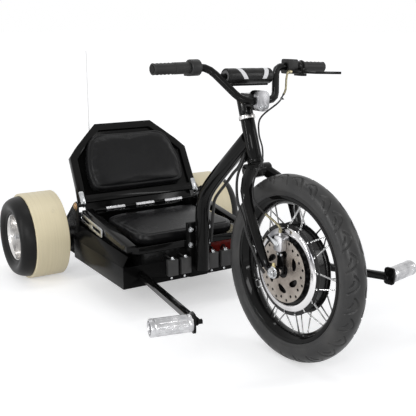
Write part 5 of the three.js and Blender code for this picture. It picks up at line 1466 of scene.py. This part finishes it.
# %% Ends of the brake cable
def ferrule(route, radius, length, start=True):
    """A stepped brass end on a cable"""
    first, second = (route[0], route[2]) if start else (route[-1], route[-3])
    along = (second - first).normalized()
    body = rod_between("ferrule", first, first + along * length * MM, radius * MM, 20)
    far_face(body, along)
    push(along * length * 0.16 * MM, 0.72)
    push(along * length * 0.3 * MM)
    mode("OBJECT")
    rounded(body, 0.0004, 2, 30)
    return smooth(body, 30)


fit("brake_cable_ends", [ferrule(brake_route, 5.4, 11), ferrule(brake_route, 4.8, 9, False)], BRASS, "steering", True)
print("brass ends on")


# %% Cable ties
def cable_tie(point, along, radius, tail):
    """A thin band round a cable with its square lock and a cut tail"""
    deselect()
    bpy.ops.mesh.primitive_cylinder_add(
        vertices=24, radius=radius * MM, depth=2.6 * MM, location=point, end_fill_type="NOTHING")
    band = bpy.context.object
    band.rotation_euler = along.to_track_quat("Z", "Y").to_euler()
    chosen(band)
    bpy.ops.object.transform_apply(location=True, rotation=True, scale=True)
    apply_modifier(band, "SOLIDIFY", thickness=0.0009, offset=0.0)
    away = Vector(tail).normalized()
    lock = point + away * (radius + 1.2) * MM
    block = bar_of("lock", [v * 1000 - 2.2 for v in lock], [v * 1000 + 2.2 for v in lock], 0.0005)
    end = rod_between("tail", lock, lock + away * 0.007, 0.0009, 6)
    far_face(end, Vector(tail))
    bpy.ops.transform.resize(value=(0.6, 0.6, 0.6))
    mode("OBJECT")
    return joined("tie", [band, block, end])


def tie_on(route, share, radius, tail):
    """A tie at a share of a route's length"""
    spot = stretch(route, share, 1.0)
    return cable_tie(spot[0], (spot[1] - spot[0]).normalized(), radius, tail)


ties = [tie_on(brake_route, 0.2, 3.4, (1, -0.3, -0.4)), tie_on(brake_route, 0.62, 3.4, (-1, -0.4, 0.1))]
fit("cable_ties", ties, PLASTIC, "steering", True)
print("ties on")

# %% Motor cable and loom
motor_route = smooth_route([from_head(*p) for p in (
    (-0.34, 0.09, -0.12), (-0.53, -0.02, -0.31), (-0.73, -0.23, -0.54), (-0.83, -0.42, -0.9), (-0.82, -0.64, -1.29),
    (-0.81, -0.82, -1.69), (-0.77, -1.04, -2.04), (-0.76, -1.21, -2.3), (-0.71, -1.37, -2.46))])
loom_route = smooth_route([from_head(*p) for p in (
    (-0.076, 0.382, 0.025), (-0.076, 0.595, -0.272), (-0.051, 0.909, -0.518), (0, 1.316, -0.866), (0, 1.673, -1.189),
    (0.034, 1.928, -1.444), (0.102, 2.098, -1.758), (0.187, 2.285, -2.14), (0.229, 2.387, -2.48),
    (0.238, 2.437, -2.777))])
fit("motor_cable_jacket", [cable_run("jacket", motor_route, 4.0)], CABLE, "steering", True, "motor_cable")
fit("loom_jacket", [cable_run("jacket", loom_route, 5.0)], CABLE, "frame", False, "frame_loom")
motor_top = STEERED @ motor_route[0]
motor_lead = (motor_top - STEERED @ motor_route[2]).normalized()
loom_lead = (loom_route[0] - loom_route[2]).normalized()
link_route = smooth_route([
    motor_top - motor_lead * 0.004, motor_top + motor_lead * 0.009,
    loom_route[0] + loom_lead * 0.012, loom_route[0] - loom_lead * 0.004])
link = cable_run("motor_cable_link", link_route, 4.4)
painted(link, CABLE)
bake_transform(link)
print("link from", [round(v, 3) for v in motor_top], "to", [round(v, 3) for v in loom_route[0]])

# %% [markdown]
# ## Foot pegs
# Each peg is a turned alloy tube with smooth collars and long milled slots for grip, hollow at its outer end. It
# is spun along X with many fine rings. The slots are then pressed in point by point, and the peg is turned out to
# stand on its arm's end plate.

# %% Peg
PEG_ALLOY = metal("peg_alloy", tone(0.6, 0.6, 0.61), tone(0.4, 0.4, 0.41), 0.2, 0.34, 420.0, 0.00004, 40.0)
peg_places = [14 + 1.75 * k for k in range(49)]
peg_outer = [(21.4, 0.2), (23.2, 1.4), (23.8, 3.0), (23.8, 9.6), (23.2, 10.8), (22.8, 11.6)]
peg_outer += [(23.6, x) for x in peg_places]
peg_outer += [(22.8, 99.6), (23.2, 100.6), (23.9, 101.8), (24.0, 109.4), (23.4, 111.4), (22.2, 112.0)]
peg_section = [(7.0, 0.2)] + peg_outer + [(19.2, 112.0), (18.4, 110.6), (18.2, 101.0), (7.0, 100.0)]
SLOTS, SLOT_DEPTH = 11, 0.0016
SLOT_FROM, SLOT_TO, SLOT_END = 17.5, 93.5, 2.5
COLLAR_FOOT = 0.0232
PEG_SEAT = Vector((0.338, -0.531, 0.194))


def peg(side):
    """One milled peg, standing out from its arm"""
    made = turned("peg", peg_section, 132, Vector((0, 0, 0)), 34)
    points = mesh_points(made)
    radius = np.hypot(points[:, 1], points[:, 2])
    share = (np.arctan2(points[:, 1], points[:, 2]) / (2 * math.pi) * SLOTS) % 1.0
    row = np.clip((0.13 - np.abs(share - 0.5)) / 0.05, 0, 1)
    out = points[:, 0] * 1000
    span = np.clip((out - SLOT_FROM) / SLOT_END, 0, 1) * np.clip((SLOT_TO - out) / SLOT_END, 0, 1)
    deep = SLOT_DEPTH * row * span * (radius > COLLAR_FOOT)
    points[:, 1:] *= ((radius - deep) / np.maximum(radius, 1e-9))[:, None]
    set_points(made, points)
    outward = Vector((side * 0.9767, 0.2145, 0.0))
    turn = Vector((1, 0, 0)).rotation_difference(outward).to_matrix().to_4x4()
    seat_point = Vector((side * PEG_SEAT.x, PEG_SEAT.y, PEG_SEAT.z))
    made.data.transform(Matrix.Translation(seat_point + outward * 0.0111) @ turn)
    return made


for word, side in (("right", -1), ("left", 1)):
    peg_piece = fit("foot_peg_milled_" + word, [peg(side)], PEG_ALLOY, "frame", False, "foot_peg_" + word)
    print("peg", word, len(peg_piece.data.polygons), "faces")

# %% [markdown]
# ## Bolts on the wheels and pivots
# The front axle ends in chromed cap nuts over a yellow-plated hook washer that keeps the axle from turning in the
# fork. The backrest turns on two bronze-coloured bolts, and the brake caliper hangs on a black adapter with two
# bright screws.

# %% Axle nuts and hook washer
CHROME = metal("chromed_nut", tone(0.62, 0.63, 0.64), tone(0.42, 0.43, 0.44), 0.08, 0.16, 300.0, 0.00002, 50.0)
nuts = [dome_bolt("nut", (side * 71.4, -490, 267), (side, 0, 0), 14.3, 14.6) for side in (-1, 1)]
fit("front_axle_nuts", nuts, CHROME, "steering", True)
washers = []
for side in (-1, 1):
    round_part = [wheel_point(14.6, 2 * math.pi * k / 36) for k in range(3, 34)]
    tab = [(-0.4858, 0.2925), (-0.4868, 0.2945), (-0.4932, 0.2945), (-0.4942, 0.2925)]
    low, high = sorted((side * 0.0689, side * 0.0719))
    washers.append(plate_across("hook_washer", round_part + [(2 * AXLE.y - y, z) for y, z in tab], low, high))
fit("front_hook_washers", washers, YELLOW_ZINC, "steering", True)
pivot_bolts = [dome_bolt("bolt", (side * 267.8, 435, 289), (side, 0, 0), 12.4, 8.0) for side in (-1, 1)]
BRONZE = metal("bronze_plating", tone(0.6, 0.42, 0.26), tone(0.42, 0.29, 0.18), 0.2, 0.34, 260.0, 0.00003, 60.0)
fit("backrest_pivot_bolts", pivot_bolts, BRONZE, "frame")
adapter_screws = [cap_screw("screw", (-46.6, -487 + dy, 315), (-1, 0, 0), 4.2, 5.0) for dy in (-7, 7)]
fit("caliper_adapter_screws", adapter_screws, ZINC, "steering", True)
print("nuts, washers, pivots and screws set")

# %% Hinge sleeves
sleeve_ring = [(6.3, -37.6), (8.6, -38), (9.3, -37.2), (9.3, 37.2), (8.6, 38), (6.3, 37.6)]
HINGE_LINE = Vector((0.0, 0.411, 0.271))
bright_sleeves = [
    turned("sleeve", [(r, x + shift) for r, x in sleeve_ring], 40, HINGE_LINE, 30) for shift in (-122, 0, 122)]
fit("hinge_sleeves", bright_sleeves, PEG_ALLOY, "frame")
print("hinge sleeves slid on")

# %% [markdown]
# ## Panel behind the seat
# Behind the seat a folded sheet ties the two axle plates together and closes the box. It is a long narrow
# plate, so it's drawn as a flat section with a lip along its top and extruded across the trike.

# %% Rear panel
panel_section = [(0.446, 0.1722), (0.449, 0.1722), (0.449, 0.262), (0.4405, 0.262), (0.4405, 0.2598), (0.446, 0.2598)]
rear_panel = plate_across("rear_tie_panel", panel_section, -0.2615, 0.2615)
rounded(rear_panel, 0.0006, 2, 40)
smooth(rear_panel, 35)
stand_for(rear_panel, BOX_ENAMEL, "frame")
print("rear panel folded")

# %% [markdown]
# ## Battery leads
# Four short leads leave the terminal bolts and dive into the box. Each ends in a flat lug under its bolt.

# %% Leads
leads, lugs = [], []
for x in BLOCKS:
    lean = 5 if x > 0 else -5
    route = [(x, 14, 177.5), (x + lean, 22, 178.5), (x + 2 * lean, 32, 184), (x + 2.4 * lean, 44, 183),
             (x + 2.6 * lean, 54, 172), (x + 2.6 * lean, 60, 158)]
    leads.append(cable_run("lead", smooth_route([Vector(p) * MM for p in route], 6), 3.0))
    lugs.append(bar_of("lug", (x - 6.5, 4.5, 174.9), (x + 6.5, 21, 176.7), 0.0006))
fit("battery_leads", leads, CABLE, "frame")
fit("terminal_lugs", lugs, ZINC, "frame")
print("leads and lugs fitted")
